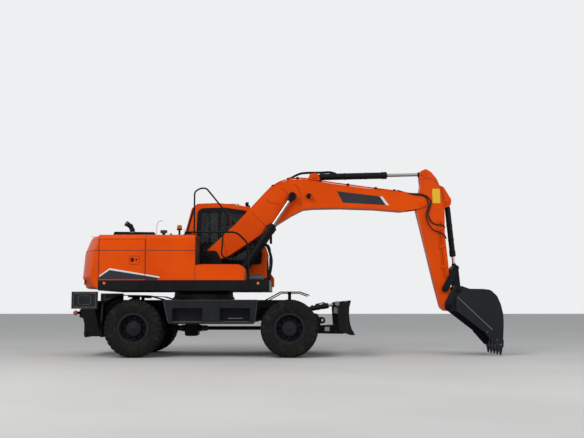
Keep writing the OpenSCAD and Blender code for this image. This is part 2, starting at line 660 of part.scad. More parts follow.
// Slatted air inlet of the left door: frame, slats and upright bars
grille_x = [-1660, -1280];
grille_z = [1640, 2060];
grille_slats = 12;
module door_grille() {
    w = upper_half_w + 0.3;
    step = (grille_z[1] - grille_z[0] - 44) / grille_slats;
    color(black) on_machine() union() {
        difference() {
            block(grille_x, [w, w + 8], grille_z);
            block([grille_x[0] + 22, grille_x[1] - 22], [w + 1.5, w + 9], [grille_z[0] + 22, grille_z[1] - 22]);
        }
        for (k = [0:grille_slats - 1]) let (z = grille_z[0] + 24 + k * step)
            block([grille_x[0] + 21, grille_x[1] - 21], [w + 1, w + 6], [z, z + 18]);
    }
}
module side_door_left() { color(orange) on_machine() side_leaf(); }
module side_door_right() { color(orange) on_machine() mirror([0, 1, 0]) side_leaf(); }

lid_x = [-1676, -560];
lid_y = [-560, 760];
module hood_lid() {
    z = hood_top_z + seat_gap;
    color(black) on_machine() difference() {
        union() {
            section(rounded([[lid_y[0], z, 0], [lid_y[1], z, 0], [lid_y[1] - 20, z + 42, 20], [lid_y[0] + 20, z + 42, 20]]),
                lid_x[0], lid_x[1]);
            lid_knuckles(hood_axis, hood_knuckles, 20);
        }
        block([lid_x[0] + 70, lid_x[1] - 70], [lid_y[0] + 70, lid_y[1] - 70], [z - 1, z + 28]);
    }
}

tool_z = [1384.3, 1650];
tool_front_x = 838;
module tool_box() {
    color(orange) on_machine() difference() {
        union() {
        lid_ears(tool_axis, tool_knuckles, tool_z[1] - 1);
        plate(rounded([[tank_front_x + 0.3, tool_z[0], 0], [tool_front_x, tool_z[0], 0], [tool_front_x, tool_z[1], 80],
            [tank_front_x + 0.3, tool_z[1], 0]]), -upper_half_w, -520);
        }
        block([0, 740], [-1060, -590], [tool_z[0] + 30, tool_z[1] + 1]);
    }
}
module tool_box_lid() {
    color(orange) on_machine() union() {
        lid_knuckles(tool_axis, tool_knuckles, 20);
        plate(rounded([[-14, tool_z[1] + seat_gap, 0], [745, tool_z[1] + seat_gap, 0], [740, tool_z[1] + 24, 10],
            [-14, tool_z[1] + 24, 10]]), -1095, -560);
    }
}

// Cab

// Side outline: place along X, height, corner radius, and the way inward along X and Z
cab_table = [[-427, 1384.6, 0, 1, 1], [-427, 2330, 60, 1, 0], [-292, 2846, 40, 1, -0.4], [-180, 2940, 60, 0.6, -1],
    [210, 2955, 300, 0, -1], [509, 2930, 200, 0, -1], [865, 2875, 60, -0.8, -1], [1203, 1960, 120, -1, -0.3],
    [1203, 1384.6, 0, -1, 1]];
cab_left_y = upper_half_w;
// A point at height z on the cab's slanted front, some way off it
function cab_front(z, off) = let (d = unit([338, -915])) [1203 - (z - 1960) * 338 / 915 - d[1] * off, z + d[0] * off];
function cab_roof(x, off) = [x, 2930 - (x - 509) * 55 / 356 + off];
function cab_outline(depth) = rounded([for (row = cab_table)
    [row[0] + row[3] * depth, row[1] + row[4] * depth, row[2] > depth ? row[2] - depth / 2 : row[2]]]);
cab_window = [[-172, 1754, 60], [1080, 1754, 60], [1090, 1960, 80], [782, 2785, 60], [365, 2846, 200], [-99, 2834, 60]];
door_table = [[250, 1420, 60], [1105, 1420, 60], [1105, 1960, 100], [800, 2800, 70], [365, 2862, 120], [250, 2850, 60]];
door_window = [[310, 1760, 50], [1045, 1760, 50], [1045, 1970, 90], [765, 2745, 50], [365, 2802, 80], [310, 2795, 50]];
quarter_window = [[-172, 1754, 60], [180, 1754, 50], [180, 2835, 50], [-99, 2825, 60]];
function grown(table, d, c) = rounded([for (row = table) let (v = [row[0], row[1]] - c)
    concat(c + [v[0] + sign(v[0]) * d, v[1] + sign(v[1]) * d], [row[2]])]);
door_mid = [680, 2000];

module cab_shell() {
    t = cab_wall;
    color(orange) on_machine() difference() {
        intersection() {
            plate(cab_outline(0), cab_right_y, cab_left_y);
            slab(rounded([[-427, cab_right_y, 50], [1203, cab_right_y, 70], [1203, cab_left_y, 70],
                [-427, cab_left_y, 50]]), 1300, 3000);
        }
        plate(cab_outline(t), cab_right_y + t, cab_left_y - t);
        plate(rounded(cab_window), cab_right_y - 1, cab_right_y + t + 1);
        plate(rounded(quarter_window), cab_left_y - t - 1, cab_left_y + 1);
        plate(grown(door_table, door_gap, door_mid), cab_left_y - t - 1, cab_left_y + 1);
        hinge_knuckles(door_table[0][0], cab_knuckles, knuckle_room, 4);
        // Windscreen, rear window and roof hatch
        section(rounded([[cab_right_y + 60, 1500, 50], [cab_left_y - 60, 1500, 50], [cab_left_y - 60, 2740, 70],
            [cab_right_y + 60, 2740, 70]]), 870, 1300);
        section(rounded([[cab_right_y + 90, 2240, 50], [cab_left_y - 90, 2240, 50], [cab_left_y - 90, 2790, 50],
            [cab_right_y + 90, 2790, 50]]), -500, -250);
        slab(rounded([[120, cab_right_y + 150, 60], [620, cab_right_y + 150, 60], [620, cab_left_y - 150, 60],
            [120, cab_left_y - 150, 60]]), 2850, 3000);
    }
}
// Cover of the valves on the deck before the cab, which reaches over the deck's front edge
module front_cover() {
    x0 = 1203.6;
    x1 = deck_front_x + seat_gap;
    color(orange) on_machine() difference() {
        plate(rounded([[x0, deck_top + seat_gap, 0], [x1, deck_top + seat_gap, 0], [x1, 1304, 0], [x1 + 42, 1304, 20],
            [x1 + 42, 1480, 60], [x1 - 20, 1564, 60], [x0, 1564, 0]]), 630, 1180);
        plate([[x1 - 60, 1410], [x1 + 20, 1410], [x1 + 20, 1470], [x1 - 60, 1500]], 1172, 1181);
    }
}
// Panes sit in the middle of the walls, in grooves that are a little larger
module cab_glass() {
    t = cab_wall;
    mid = (t - pane_t) / 2;
    color(pane_tint) on_machine() union() {
        plate(grown(cab_window, -seat_gap, [480, 2300]), cab_right_y + mid, cab_right_y + mid + pane_t);
        plate(grown(quarter_window, -seat_gap, [60, 2300]), cab_left_y - mid - pane_t, cab_left_y - mid);
        intersection() {
            difference() {
                plate(cab_outline(mid), cab_right_y + 60.3, cab_left_y - 60.3);
                plate(cab_outline(mid + pane_t), cab_right_y + 50, cab_left_y - 50);
            }
            union() {
                section(rounded([[cab_right_y + 60.3, 1500.3, 50], [cab_left_y - 60.3, 1500.3, 50],
                    [cab_left_y - 60.3, 2739.7, 70], [cab_right_y + 60.3, 2739.7, 70]]), 870, 1300);
                section(rounded([[cab_right_y + 90.3, 2240.3, 50], [cab_left_y - 90.3, 2240.3, 50],
                    [cab_left_y - 90.3, 2789.7, 50], [cab_right_y + 90.3, 2789.7, 50]]), -500, -250);
                slab(rounded([[120.3, cab_right_y + 150.3, 60], [619.7, cab_right_y + 150.3, 60],
                    [619.7, cab_left_y - 150.3, 60], [120.3, cab_left_y - 150.3, 60]]), 2850, 3000);
            }
        }
    }
}
module cab_door() {
    t = cab_wall;
    color(orange) on_machine() difference() {
        union() {
            plate(rounded(door_table), cab_left_y - t, cab_left_y);
            hinge_knuckles(door_table[0][0], cab_knuckles, knuckle_r, 0);
        }
        plate(rounded(door_window), cab_left_y - t - 1, cab_left_y + 1);
    }
}
module cab_door_glass() {
    mid = (cab_wall - pane_t) / 2;
    color(pane_tint) on_machine()
        plate(grown(door_window, -seat_gap, [680, 2300]), cab_left_y - mid - pane_t, cab_left_y - mid);
}
cab_mid_y = (cab_right_y + cab_left_y) / 2;
module seat() {
    floor_z = 1384.6 + cab_wall;
    color(black) on_machine() translate([0, cab_mid_y, 0]) union() {
        block([130, 480], [-170, 170], [floor_z + 0.3, 1640]);
        plate(rounded([[60, 1630, 40], [590, 1640, 60], [600, 1770, 50], [60, 1740, 40]]), -245, 245);
        plate(rounded([[20, 1700, 40], [190, 1700, 50], [95, 2330, 50], [-40, 2330, 50]]), -235, 235);
        plate(rounded([[-30, 2345, 20], [75, 2345, 30], [65, 2500, 40], [-35, 2500, 30]]), -130, 130);
        block([-15, 45], [-50, 50], [2320, 2360]);
    }
}
module console() {
    floor_z = 1384.6 + cab_wall;
    color(charcoal) on_machine() translate([0, cab_mid_y, 0]) union() {
        // Armrest consoles with their levers
        both_sides() {
            block([150, 420], [258, 322], [floor_z + seat_gap, 1800]);
            plate(rounded([[140, 1780, 20], [600, 1795, 25], [600, 1860, 25], [140, 1845, 20]]), 255, 325);
            pin_z(550, 290, 12, 1830, 1960);
            pin_z(550, 290, 24, 1950, 2010);
        }
        // Steering column and wheel
        block([850, 960], [-70, 70], [floor_z + seat_gap, floor_z + 90]);
        bar([900, floor_z + 30], [760, 2050], 0, 36, 20, 590);
        translate([763, 0, 2018]) rotate([0, -13.5, 0]) {
            cylinder(r = 48, h = 40);
            rotate_extrude($fn = 72) polygon([[156, 14], [184, 14], [188, 25], [184, 36], [156, 36], [152, 25]]);
            for (a = [0:120:359]) rotate([0, 0, a]) translate([30, -12, 17]) cube([140, 24, 16]);
        }
    }
}

// Upper end of the grab rail, square to the slanted front of the cab
grab_in = cab_front(2120, seat_gap);
grab_out = cab_front(2120, 75);
rail_y = -1150;
rail_r = 17;
function rail(points) = [for (p = points) [p[0], rail_y, p[1]]];
module handrails() {
    color(black) on_machine() union() {
        tube(rail([[-236, hood_top_z + 0.3], [-236, 2254], [690, 2254], [895, 2062], [912, deck_top + 1.3]]), rail_r, 12);
        tube(rail([[449, 2254], [422, 1833], [511, 1774], [908, 1774]]), rail_r - 3, 12);
        // Mirror stay on the tank
        tube(rail([[-75, hood_top_z + 0.3], [-75, 2990], [31, 3055], [139, 3055], [511, 2600], [511, 2252]]), rail_r - 2, 12);
        // Low rail along the left edge of the hood
        tube([[-1600, 1100, hood_top_z + 0.3], [-1600, 1100, 2330], [-700, 1100, 2330], [-700, 1100, hood_top_z + 0.3]], rail_r, 12);
        // Grab rail in front of the cab
        tube([[1203.3, 560, 1450], [1262, 560, 1450], [1262, 560, 2060], [grab_out[0], 560, grab_out[1]],
            [grab_in[0], 560, grab_in[1]]], 14, 12);
    }
}
module mirrors() {
    color(black) on_machine() union() {
        section(rounded([[-1240, 2370, 30], [-1060, 2370, 30], [-1060, 2590, 30], [-1240, 2590, 30]]), 529, 575);
        section(rounded([[1085, 2200, 30], [1255, 2200, 30], [1255, 2480, 30], [1085, 2480, 30]]), 1240, 1285);
        tube([[1075, 1150, 2330], [1245, 1150, 2330]], 12);
        plate([cab_front(2370, seat_gap), cab_front(2370, 14), cab_front(2290, 14), cab_front(2290, seat_gap)], 1120, 1165);
    }
}
module exhaust() {
    color(black) on_machine() union() {
        pin_z(-1276, -700, 70, hood_top_z + 0.3, hood_top_z + 30);
        tube([[-1276, -700, hood_top_z + 0.3], [-1276, -700, 2330], [-1310, -700, 2400], [-1388, -700, 2450]], 45);
        // Air intake cap
        pin_z(-676, -800, 30, hood_top_z + 0.3, hood_top_z + 60);
        pin_z(-676, -800, 62, hood_top_z + 60, hood_top_z + 110);
    }
}
module lamps() {
    color(amber) on_machine() {
        // Beacon on its post
        pin_z(-500, 100, 20, hood_top_z + 0.3, 2400);
        pin_z(-500, 100, 55, 2400, 2500);
        // Side marker lamps on the skirt
        for (x = [-1669, 1088]) both_sides() {
            pin_y([x, 1327], 31, upper_half_w + 0.3, upper_half_w + 8);
            pin_y([x, 1327], 25, upper_half_w + 7, upper_half_w + 14);
        }
        // Work lamps on the cab roof and on the tool box
        for (y = [480, 1100]) {
            block([760, 830], [y - 55, y + 55], [2915, 2990]);
            plate([cab_roof(770, 0.4), cab_roof(800, 0.4), [800, 2916], [770, 2916]], y - 15, y + 15);
        }
    }
}

// Working arm

// Boom outline in its own frame: place along the boom, height over the pin line, corner radius
module boom() {
    ear = 145;
    fork = 330;
    color(orange) on_machine() boom_frame() difference() {
        union() {
            plate(rounded([[-95, 40, 70], [-60, 110, 60], [615, 484, 200], [1382, 986, 300], [1640, 1062, 200],
                [1860, 1060, 300], [2100, 1015, 200], [2585, 804, 300], [3212, 552, 300], [boom_len - 208, 269, 0],
                [boom_len + 100, 120, 80], [boom_len + 90, -70, 80], [boom_len - 120, -82, 0], [boom_len - 430, -45, 300],
                [3298, 117, 300], [2637, 306, 300], [2129, 424, 200], [1950, 450, 200], [1707, 393, 300], [1391, 291, 300],
                [770, 74, 300], [359, -71, 100], [60, -110, 60], [-70, -70, 60]], 3), -boom_half_w, boom_half_w);
            // Bosses for the boom rods
            pin_y(boom_boss, 92, -boom_cyl_y + boom_eye_half + 0.3, boom_cyl_y - boom_eye_half - 0.3);
            // Ears of the arm cylinder, with their pin
            both_sides() plate(rounded([[arm_base[0] - 190, 930, 0], [arm_base[0] - 70, arm_base[1] + 75, 60],
                [arm_base[0] + 75, arm_base[1] + 60, 60], [arm_base[0] + 120, 830, 0]]), 64, 94);
            pin_y(arm_base, 35, -100, 100);
        }
        // Foot narrows between the ears of the upper structure
        both_sides() plate([[-200, -200], [330, -200], [330, 600], [-200, 600]], 154.7, boom_half_w + 1);
        pin_y([0, 0], 50 + pin_clear, -200, 200);
        // Fork at the nose
        plate([[boom_len - fork, -300], [boom_len + 200, -300], [boom_len + 200, 500], [boom_len - fork, 500]], -ear, ear);
    }
    color(orange) on_machine() boom_frame() pin_y([boom_len, 0], 55, -ear - 5, ear + 5);
}
module boom_barrels() {
    color(black) on_machine() both_sides() barrel(boom_cyl_base, on_boom(boom_boss), boom_cyl_y,
        boom_barrel_r, boom_rod_r, boom_barrel_len, 78, boom_barrel_r, 35, 110);
}
module boom_rods() {
    color(chrome) on_machine() both_sides() rod(boom_cyl_base, on_boom(boom_boss), boom_cyl_y,
        boom_rod_r, 560, 75, boom_eye_half);
}

module arm() {
    color(orange) on_machine() arm_frame() difference() {
        union() {
            plate(rounded([[-640, 243, 60], [-547, 330, 60], [-396, 401, 100], [-261, 420, 60], [103, 425, 60], [693, 281, 300],
                [1181, 215, 300], [arm_len - 323, 125, 300], [arm_len + 70, 75, 70], [arm_len + 75, -75, 75],
                [arm_len - 20, -140, 60], [arm_len - 442, -144, 300], [889, -136, 300], [90, -130, 200],
                [-60, -80, 120], [-330, 67, 200], [-610, 111, 50]], 3), -arm_half_w, arm_half_w);
            // Ears of the bucket cylinder, with their pin
            both_sides() plate(rounded([[-300, 380, 0], [-220, 500, 100], [60, 585, 70], [165, 540, 60], [200, 340, 0]]), 60, 92);
            pin_y(bucket_base, 32, -95, 95);
            // Bosses of the guide links
            pin_y(guide_pin, 34, -arm_half_w - 72, arm_half_w + 72);
        }
        // Slot between the tail plates for the eye of the arm rod
        plate([[-700, -100], [-390, -100], [-390, 600], [-700, 600]], -56, 56);
        pin_y([0, 0], 55 + pin_clear, -150, 150);
        pin_y([arm_len, 0], 40 + pin_clear, -150, 150);
    }
}
module arm_barrel() {
    color(black) on_machine() barrel(on_boom(arm_base), on_arm(arm_eye), 0, 63, 32, 1400, 66, 63.7, 35, 110);
}
module arm_rod() {
    color(chrome) on_machine() rod(on_boom(arm_base), on_arm(arm_eye), 0, 32, 650, 66, 50);
}

bucket_half = bucket_w / 2;
// Bucket outline from its pin: place forward, height, corner radius
bucket_back = [[345, 334, 40], [560, 330, 60], [720, 312, 120], [838, 200, 120], [905, 40, 160], [945, -140, 200],
    [949, -300, 200], [938, -520, 200], [918, -735, 0]];
bucket_mouth = [[880, -770, 0], [814, -720, 0], [593, -467, 120]];
module bucket() {
    inner = concat([[165, -60, 0], [160, 150, 40], [355, 304, 40], [556, 298, 60], [704, 284, 100], [806, 186, 100],
        [872, 30, 140], [910, -142, 180], [913, -300, 180], [902, -520, 180], [880, -700, 0]],
        [[840, -790, 0], [500, -900, 0], [20, -160, 0]]);
    side = concat([[95, -80, 20], [82, -60, 20], [82, 190, 30], [245, 334, 20]], bucket_back, bucket_mouth);
    color(charcoal) on_machine() bucket_frame() difference() {
        union() {
            plate(rounded(concat([[130, -100, 0], [130, 170, 40], [320, 322, 0]], bucket_back, [[880, -770, 0]]), 3),
                -bucket_half + bucket_side_t, bucket_half - bucket_side_t);
            both_sides() {
                plate(rounded(side, 3), bucket_half - bucket_side_t, bucket_half);
                // Ears with the bucket pin and the link pin
                plate(rounded([[-78, -70, 70], [80, -95, 60], [330, 20, 0], [420, 334, 0], [262, 392, 60],
                    [110, 392, 60], [-70, 80, 70]]), 150, 182);
            }
            pin_y([0, 0], 40, -184, 184);
            pin_y(ear_pin_at(), 36, -184, 184);
        }
        plate(rounded(inner, 3), -bucket_half + bucket_side_t, bucket_half - bucket_side_t);
    }
    color(charcoal) on_machine() bucket_frame() teeth();
}
function ear_pin_at() = turned(ear_pin - [arm_len, 0], arm_angle);
// Teeth with their adaptors over the lip, and the side cutters
module teeth() {
    pitch = (bucket_w - 110) / (tooth_count - 1);
    for (i = [0:tooth_count - 1]) {
        mid = -bucket_w / 2 + 55 + i * pitch;
        plate([[862, -690], [926, -690], [922, -760], [893, -899], [881, -899], [858, -770]], mid - 42, mid + 42);
        plate([[872, -600], [938, -600], [943, -640], [936, -752], [850, -752], [856, -690]], mid - 52, mid + 52);
    }
    both_sides() plate([[600, -487], [690, -520], [838, -640], [900, -760], [880, -770], [812, -728]],
        bucket_half - 1, bucket_half + 11);
}
module bucket_barrel() {
    color(black) on_machine() barrel(on_arm(bucket_base), on_arm(link_joint), 0, 54, 28, 1040, 58, 59.7, 32, 95);
}
module bucket_rod() {
    color(chrome) on_machine() rod(on_arm(bucket_base), on_arm(link_joint), 0, 28, 170, 56, 48);
}
// Flat bar between two pins with round ends
function strap(p, q, r0, r1) =
    let (a = atan2(q[1] - p[1], q[0] - p[0]))
    concat([for (k = [0:8]) p + turned([r0, 0], a + 90 + 22.5 * k)], [for (k = [0:8]) q + turned([r1, 0], a - 90 + 22.5 * k)]);
module guide_links() {
    color(black) on_machine() arm_frame() both_sides() difference() {
        union() {
            plate(strap(guide_pin, link_joint, 62, 58), 190, 212);
            pin_y(guide_pin, 58, arm_half_w + 0.3, 194);
            pin_y(link_joint, 40, 150.3, 194);
        }
        pin_y(guide_pin, 34 + pin_clear, 140, 215);
    }
}
module bucket_link() {
    color(black) on_machine() arm_frame() difference() {
        union() {
            both_sides() plate(strap(ear_pin, link_joint, 62, 56), 60, 149.7);
            plate(strap(ear_pin, ear_pin + turned([120, 0], 171), 62, 50), -61, 61);
        }
        pin_y(ear_pin, 36 + pin_clear, -160, 160);
    }
}

chassis_frame();
slew_ring();
front_axle();
rear_axle();
driveline();
step_boxes();
fenders();
tail_lamps();
knuckle_left();
knuckle_right();
rim_front_left();
rim_front_right();
rim_rear_left();
rim_rear_right();
tyres_front_left();
tyres_front_right();
tyres_rear_left();
tyres_rear_right();
blade();
blade_barrels();
blade_rods();
outrigger_left();
outrigger_right();
leg_barrel_left();
leg_barrel_right();
leg_rod_left();
leg_rod_right();
upper_frame();
counterweight();
engine();
engine_housing();
hood_lid();
side_door_right();
side_door_left();
door_grille();
tool_box();
tool_box_lid();
cab_shell();
cab_glass();
front_cover();
cab_door();
cab_door_glass();
seat();
console();
handrails();
mirrors();
exhaust();
lamps();
boom();
boom_barrels();
boom_rods();
arm();
arm_barrel();
arm_rod();
bucket();
bucket_barrel();
bucket_rod();
guide_links();
bucket_link();
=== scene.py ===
"""Wheeled excavator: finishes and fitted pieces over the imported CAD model.

All sizes are in millimetres, counted along X from the swing axis as in the part's source, and
turn into metres of the row frame in Ground.point(). The camera stands on the machine's right.
"""

import json
import logging
import math
from dataclasses import dataclass, field
from enum import Enum
from typing import Callable, Iterable, Sequence

import bpy
from mathutils import Matrix, Vector

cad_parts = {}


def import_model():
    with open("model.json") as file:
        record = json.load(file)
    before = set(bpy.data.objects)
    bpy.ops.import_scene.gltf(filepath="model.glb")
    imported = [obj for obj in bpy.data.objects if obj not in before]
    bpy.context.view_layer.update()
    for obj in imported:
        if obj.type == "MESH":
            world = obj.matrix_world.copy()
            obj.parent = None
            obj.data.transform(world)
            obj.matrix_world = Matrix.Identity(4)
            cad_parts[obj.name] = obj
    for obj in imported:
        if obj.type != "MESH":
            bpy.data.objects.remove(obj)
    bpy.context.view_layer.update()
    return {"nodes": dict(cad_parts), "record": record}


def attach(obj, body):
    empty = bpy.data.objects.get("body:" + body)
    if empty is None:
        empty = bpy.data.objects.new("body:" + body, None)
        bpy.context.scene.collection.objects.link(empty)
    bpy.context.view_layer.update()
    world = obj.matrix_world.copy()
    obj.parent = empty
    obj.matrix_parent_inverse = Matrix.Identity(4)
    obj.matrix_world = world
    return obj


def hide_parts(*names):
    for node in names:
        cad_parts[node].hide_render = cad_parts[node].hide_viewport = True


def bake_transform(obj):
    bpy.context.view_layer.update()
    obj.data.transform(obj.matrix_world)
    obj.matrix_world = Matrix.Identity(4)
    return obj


log = logging.getLogger("excavator")

Point2 = tuple[float, float]
Point3 = tuple[float, float, float]
Corner = tuple[float, float, float]
Colour = tuple[float, float, float]
Piece = bpy.types.Object
Socket = bpy.types.NodeSocket

MM = 1000.0  # millimetres in a metre
HEX = 1.732  # width over a hexagon's flats, in radii of its corners
WASHER = 1.45  # width over a bolt's flats, in radii of its washer
SIGNS = (1, -1)  # the two flanks, left first


class Plane(Enum):
    """The plane in which a flat outline is drawn, named by its two axes."""

    XZ = "xz"
    XY = "xy"
    YZ = "yz"

    def spot(self, a: float, b: float, c: float) -> Vector:
        """A place in metres, from the outline's two values and the one across them."""
        order = {Plane.XZ: (a, c, b), Plane.XY: (a, b, c), Plane.YZ: (c, a, b)}
        return G.point(*order[self])


class Side(Enum):
    """A side of the machine, with the sign of its Y."""

    LEFT = 1
    RIGHT = -1

    @property
    def word(self) -> str:
        """The side's name in node and body names."""
        return self.name.lower()


BOTH = (Side.LEFT, Side.RIGHT)


@dataclass(frozen=True)
class Ground:
    """Places of the machine's main points, as in the part's source."""

    mid_x: float = 1675.341
    front_axle_x: float = 1650.0
    rear_axle_x: float = -1150.0
    axle_z: float = 520.0
    foot: Point2 = (129.0, 1866.0)
    boom_len: float = 4200.0
    boom_angle: float = 14.1
    arm_len: float = 2038.0
    arm_angle: float = -76.4

    def point(self, x: float, y: float, z: float) -> Vector:
        """A place in metres of the row frame.

        Args:
            x: Millimetres ahead of the swing axis.
            y: Millimetres to the left.
            z: Millimetres over the ground.

        Returns:
            The same place as a vector in metres.
        """
        return Vector(((x - self.mid_x) / MM, y / MM, z / MM))

    @staticmethod
    def turned(p: Point2, angle: float) -> Point2:
        """p turned about the origin by an angle in degrees."""
        a = math.radians(angle)
        return (p[0] * math.cos(a) - p[1] * math.sin(a), p[0] * math.sin(a) + p[1] * math.cos(a))

    def placed(self, start: Point2, p: Point2, angle: float) -> Point2:
        """A point p of a frame that is turned by an angle and stands at a start."""
        d = self.turned(p, angle)
        return (start[0] + d[0], start[1] + d[1])

    @property
    def nose(self) -> Point2:
        """The boom's nose pin."""
        return self.on_boom(self.boom_len, 0)

    @property
    def bucket_pin(self) -> Point2:
        """The pin between arm and bucket."""
        return self.on_arm(self.arm_len, 0)

    def on_boom(self, u: float, v: float) -> Point2:
        """A point of the boom's own frame, in X and Z."""
        return self.placed(self.foot, (u, v), self.boom_angle)

    def on_arm(self, u: float, v: float) -> Point2:
        """A point of the arm's own frame, in X and Z."""
        return self.placed(self.nose, (u, v), self.arm_angle)

    def on_bucket(self, x: float, z: float) -> Point2:
        """A point of the bucket's own frame, in X and Z."""
        return (self.bucket_pin[0] + x, self.bucket_pin[1] + z)


G = Ground()


# Finishes


class Nodes:
    """A small writer of one material's node tree."""

    def __init__(self, name: str) -> None:
        """Starts a material of that name with its shader and Object coordinates."""
        self.material = bpy.data.materials.new(name)
        self.material.use_nodes = True
        self.tree = self.material.node_tree
        self.shader = next(n for n in self.tree.nodes if n.type == "BSDF_PRINCIPLED")
        self.coord = self.tree.nodes.new("ShaderNodeTexCoord").outputs["Object"]

    def add(self, kind: str, inputs: dict | None = None, **settings: object) -> bpy.types.Node:
        """Adds a node.

        Args:
            kind: The node's type name.
            inputs: Socket name or number to a value or to another node's output.
            settings: Properties of the node.

        Returns:
            The new node.
        """
        node = self.tree.nodes.new(kind)
        for key, value in settings.items():
            setattr(node, key, value)
        for key, value in (inputs or {}).items():
            self.feed(value, node.inputs[key])
        return node

    def feed(self, value: object, socket: Socket) -> None:
        """Leads another node's output to a socket, or sets the socket to a constant."""
        if isinstance(value, Socket):
            self.tree.links.new(value, socket)
        else:
            socket.default_value = value

    def stretched(self, scale: Point3) -> Socket:
        """Object coordinates scaled by three factors."""
        return self.add("ShaderNodeMapping", {"Vector": self.coord, "Scale": scale}).outputs[0]

    def noise(self, scale: float, detail: float = 4.0, vector: Socket | None = None) -> Socket:
        """Cloud noise from 0 to 1."""
        made = self.add("ShaderNodeTexNoise",
                        {"Vector": vector or self.coord, "Scale": scale, "Detail": detail})
        return made.outputs["Fac"]

    def ramp(self, value: Socket, low: float, high: float, out: Point2 = (0.0, 1.0)) -> Socket:
        """Maps a value between two limits to a smooth range."""
        made = self.add("ShaderNodeMapRange", {"Value": value, "From Min": low, "From Max": high,
                                               "To Min": out[0], "To Max": out[1]},
                        interpolation_type="SMOOTHSTEP")
        return made.outputs[0]

    def math(self, what: str, a: object, b: object) -> Socket:
        """Two numbers put together by a named operation."""
        return self.add("ShaderNodeMath", {0: a, 1: b}, operation=what).outputs[0]

    def blend(self, share: Socket, a: object, b: object) -> Socket:
        """Mixes two colours, b by the share."""
        node = self.add("ShaderNodeMix", {"Factor": share}, data_type="RGBA")
        for key, value in (("A", a), ("B", b)):
            socket = next(s for s in node.inputs if s.name == key and s.type == "RGBA")
            self.feed(value if isinstance(value, Socket) else (*value, 1.0), socket)
        return next(s for s in node.outputs if s.type == "RGBA")

    def height(self) -> Socket:
        """The height over the ground, in metres."""
        return self.add("ShaderNodeSeparateXYZ", {"Vector": self.coord}).outputs["Z"]

    def bump(self, value: Socket, strength: float, distance: float) -> None:
        """Gives the shader a bump from a value."""
        made = self.add("ShaderNodeBump",
                        {"Height": value, "Strength": strength, "Distance": distance})
        self.tree.links.new(made.outputs[0], self.shader.inputs["Normal"])

    def link(self, value: Socket, socket: str) -> None:
        """Leads a value to one of the shader's sockets."""
        self.tree.links.new(value, self.shader.inputs[socket])

    def cloudy(self, scale: float, detail: float, limits: Point2, out: Point2) -> Socket:
        """Cloud noise, cut between two limits and mapped to a range."""
        return self.ramp(self.noise(scale, detail), *limits, out)

    def fixed(self, **values: float) -> bpy.types.Material:
        """Sets constants on the shader's own sockets and returns the finished material."""
        for key, value in values.items():
            self.shader.inputs[key.replace("_", " ")].default_value = value
        return self.material


@dataclass(frozen=True)
class Paint:
    """Sprayed paint with orange peel, faded patches and road dust near the ground."""

    colour: Colour
    shade: Colour
    dust: Colour = (0.23, 0.19, 0.15)
    roughness: float = 0.32
    coat: float = 0.35
    dust_amount: float = 0.25
    dust_top: float = 1.3
    shine: float = 0.22

    def make(self, name: str) -> bpy.types.Material:
        """Builds the material under a name."""
        n = Nodes(name)
        patches = n.ramp(n.noise(1.7, 5), 0.35, 0.68)
        base = n.blend(patches, self.colour, self.shade)
        streaks = n.noise(3.2, 6, n.stretched((3.0, 3.0, 0.45)))
        low = n.ramp(n.height(), 0.1, self.dust_top, (1.0, 0.22))
        grime = n.math("MULTIPLY", n.ramp(streaks, 0.42, 0.75), low)
        share = n.math("MULTIPLY", grime, self.dust_amount)
        n.link(n.blend(share, base, self.dust), "Base Color")
        rough = n.math("ADD", self.roughness, n.math("MULTIPLY", grime, 0.28))
        n.link(rough, "Roughness")
        n.bump(n.noise(260.0, 2), 0.05, 0.002)
        return n.fixed(Specular_IOR_Level=self.shine, Coat_Weight=self.coat, Coat_Roughness=0.12)


@dataclass(frozen=True)
class Rubber:
    """Tyre and hose rubber, dull, with cloudy patches of dust."""

    colour: Colour = (0.0075, 0.0072, 0.007)
    dust: Colour = (0.075, 0.056, 0.036)
    dust_amount: float = 0.26
    roughness: float = 0.72

    def make(self, name: str) -> bpy.types.Material:
        """Builds the material under a name."""
        n = Nodes(name)
        cloud = n.ramp(n.noise(9.0, 6), 0.45, 0.8)
        n.link(n.blend(n.math("MULTIPLY", cloud, self.dust_amount), self.colour, self.dust),
               "Base Color")
        rough = (self.roughness - 0.08, self.roughness + 0.12)
        n.link(n.cloudy(30.0, 3, (0.2, 0.8), rough), "Roughness")
        n.bump(n.noise(420.0, 3), 0.12, 0.003)
        return n.fixed(Specular_IOR_Level=0.12)


@dataclass(frozen=True)
class Metal:
    """Bare metal: polished, brushed or cast."""

    colour: Colour
    roughness: float
    grain: float = 0.1
    stain: Colour = (0.1, 0.08, 0.06)
    stain_amount: float = 0.1

    def make(self, name: str) -> bpy.types.Material:
        """Builds the material under a name."""
        n = Nodes(name)
        cloud = n.ramp(n.noise(14.0, 5), 0.5, 0.85)
        n.link(n.blend(n.math("MULTIPLY", cloud, self.stain_amount), self.colour, self.stain),
               "Base Color")
        rough = (self.roughness * 0.8, self.roughness * 1.3)
        n.link(n.cloudy(60.0, 3, (0.2, 0.8), rough), "Roughness")
        n.bump(n.noise(300.0, 2), self.grain, 0.002)
        return n.fixed(Metallic=1.0)


@dataclass(frozen=True)
class Pane:
    """Tinted glass, with a faint film of dust."""

    colour: Colour = (0.006, 0.011, 0.010)
    film: Colour = (0.2, 0.2, 0.19)
    film_amount: float = 0.12
    alpha: float = 0.72

    def make(self, name: str) -> bpy.types.Material:
        """Builds the material under a name."""
        n = Nodes(name)
        film = n.ramp(n.noise(5.0, 5), 0.45, 0.9)
        share = n.math("MULTIPLY", film, self.film_amount)
        n.link(n.blend(share, self.colour, self.film), "Base Color")
        n.link(n.math("ADD", 0.03, share), "Roughness")
        return n.fixed(Alpha=self.alpha, Specular_IOR_Level=0.3)


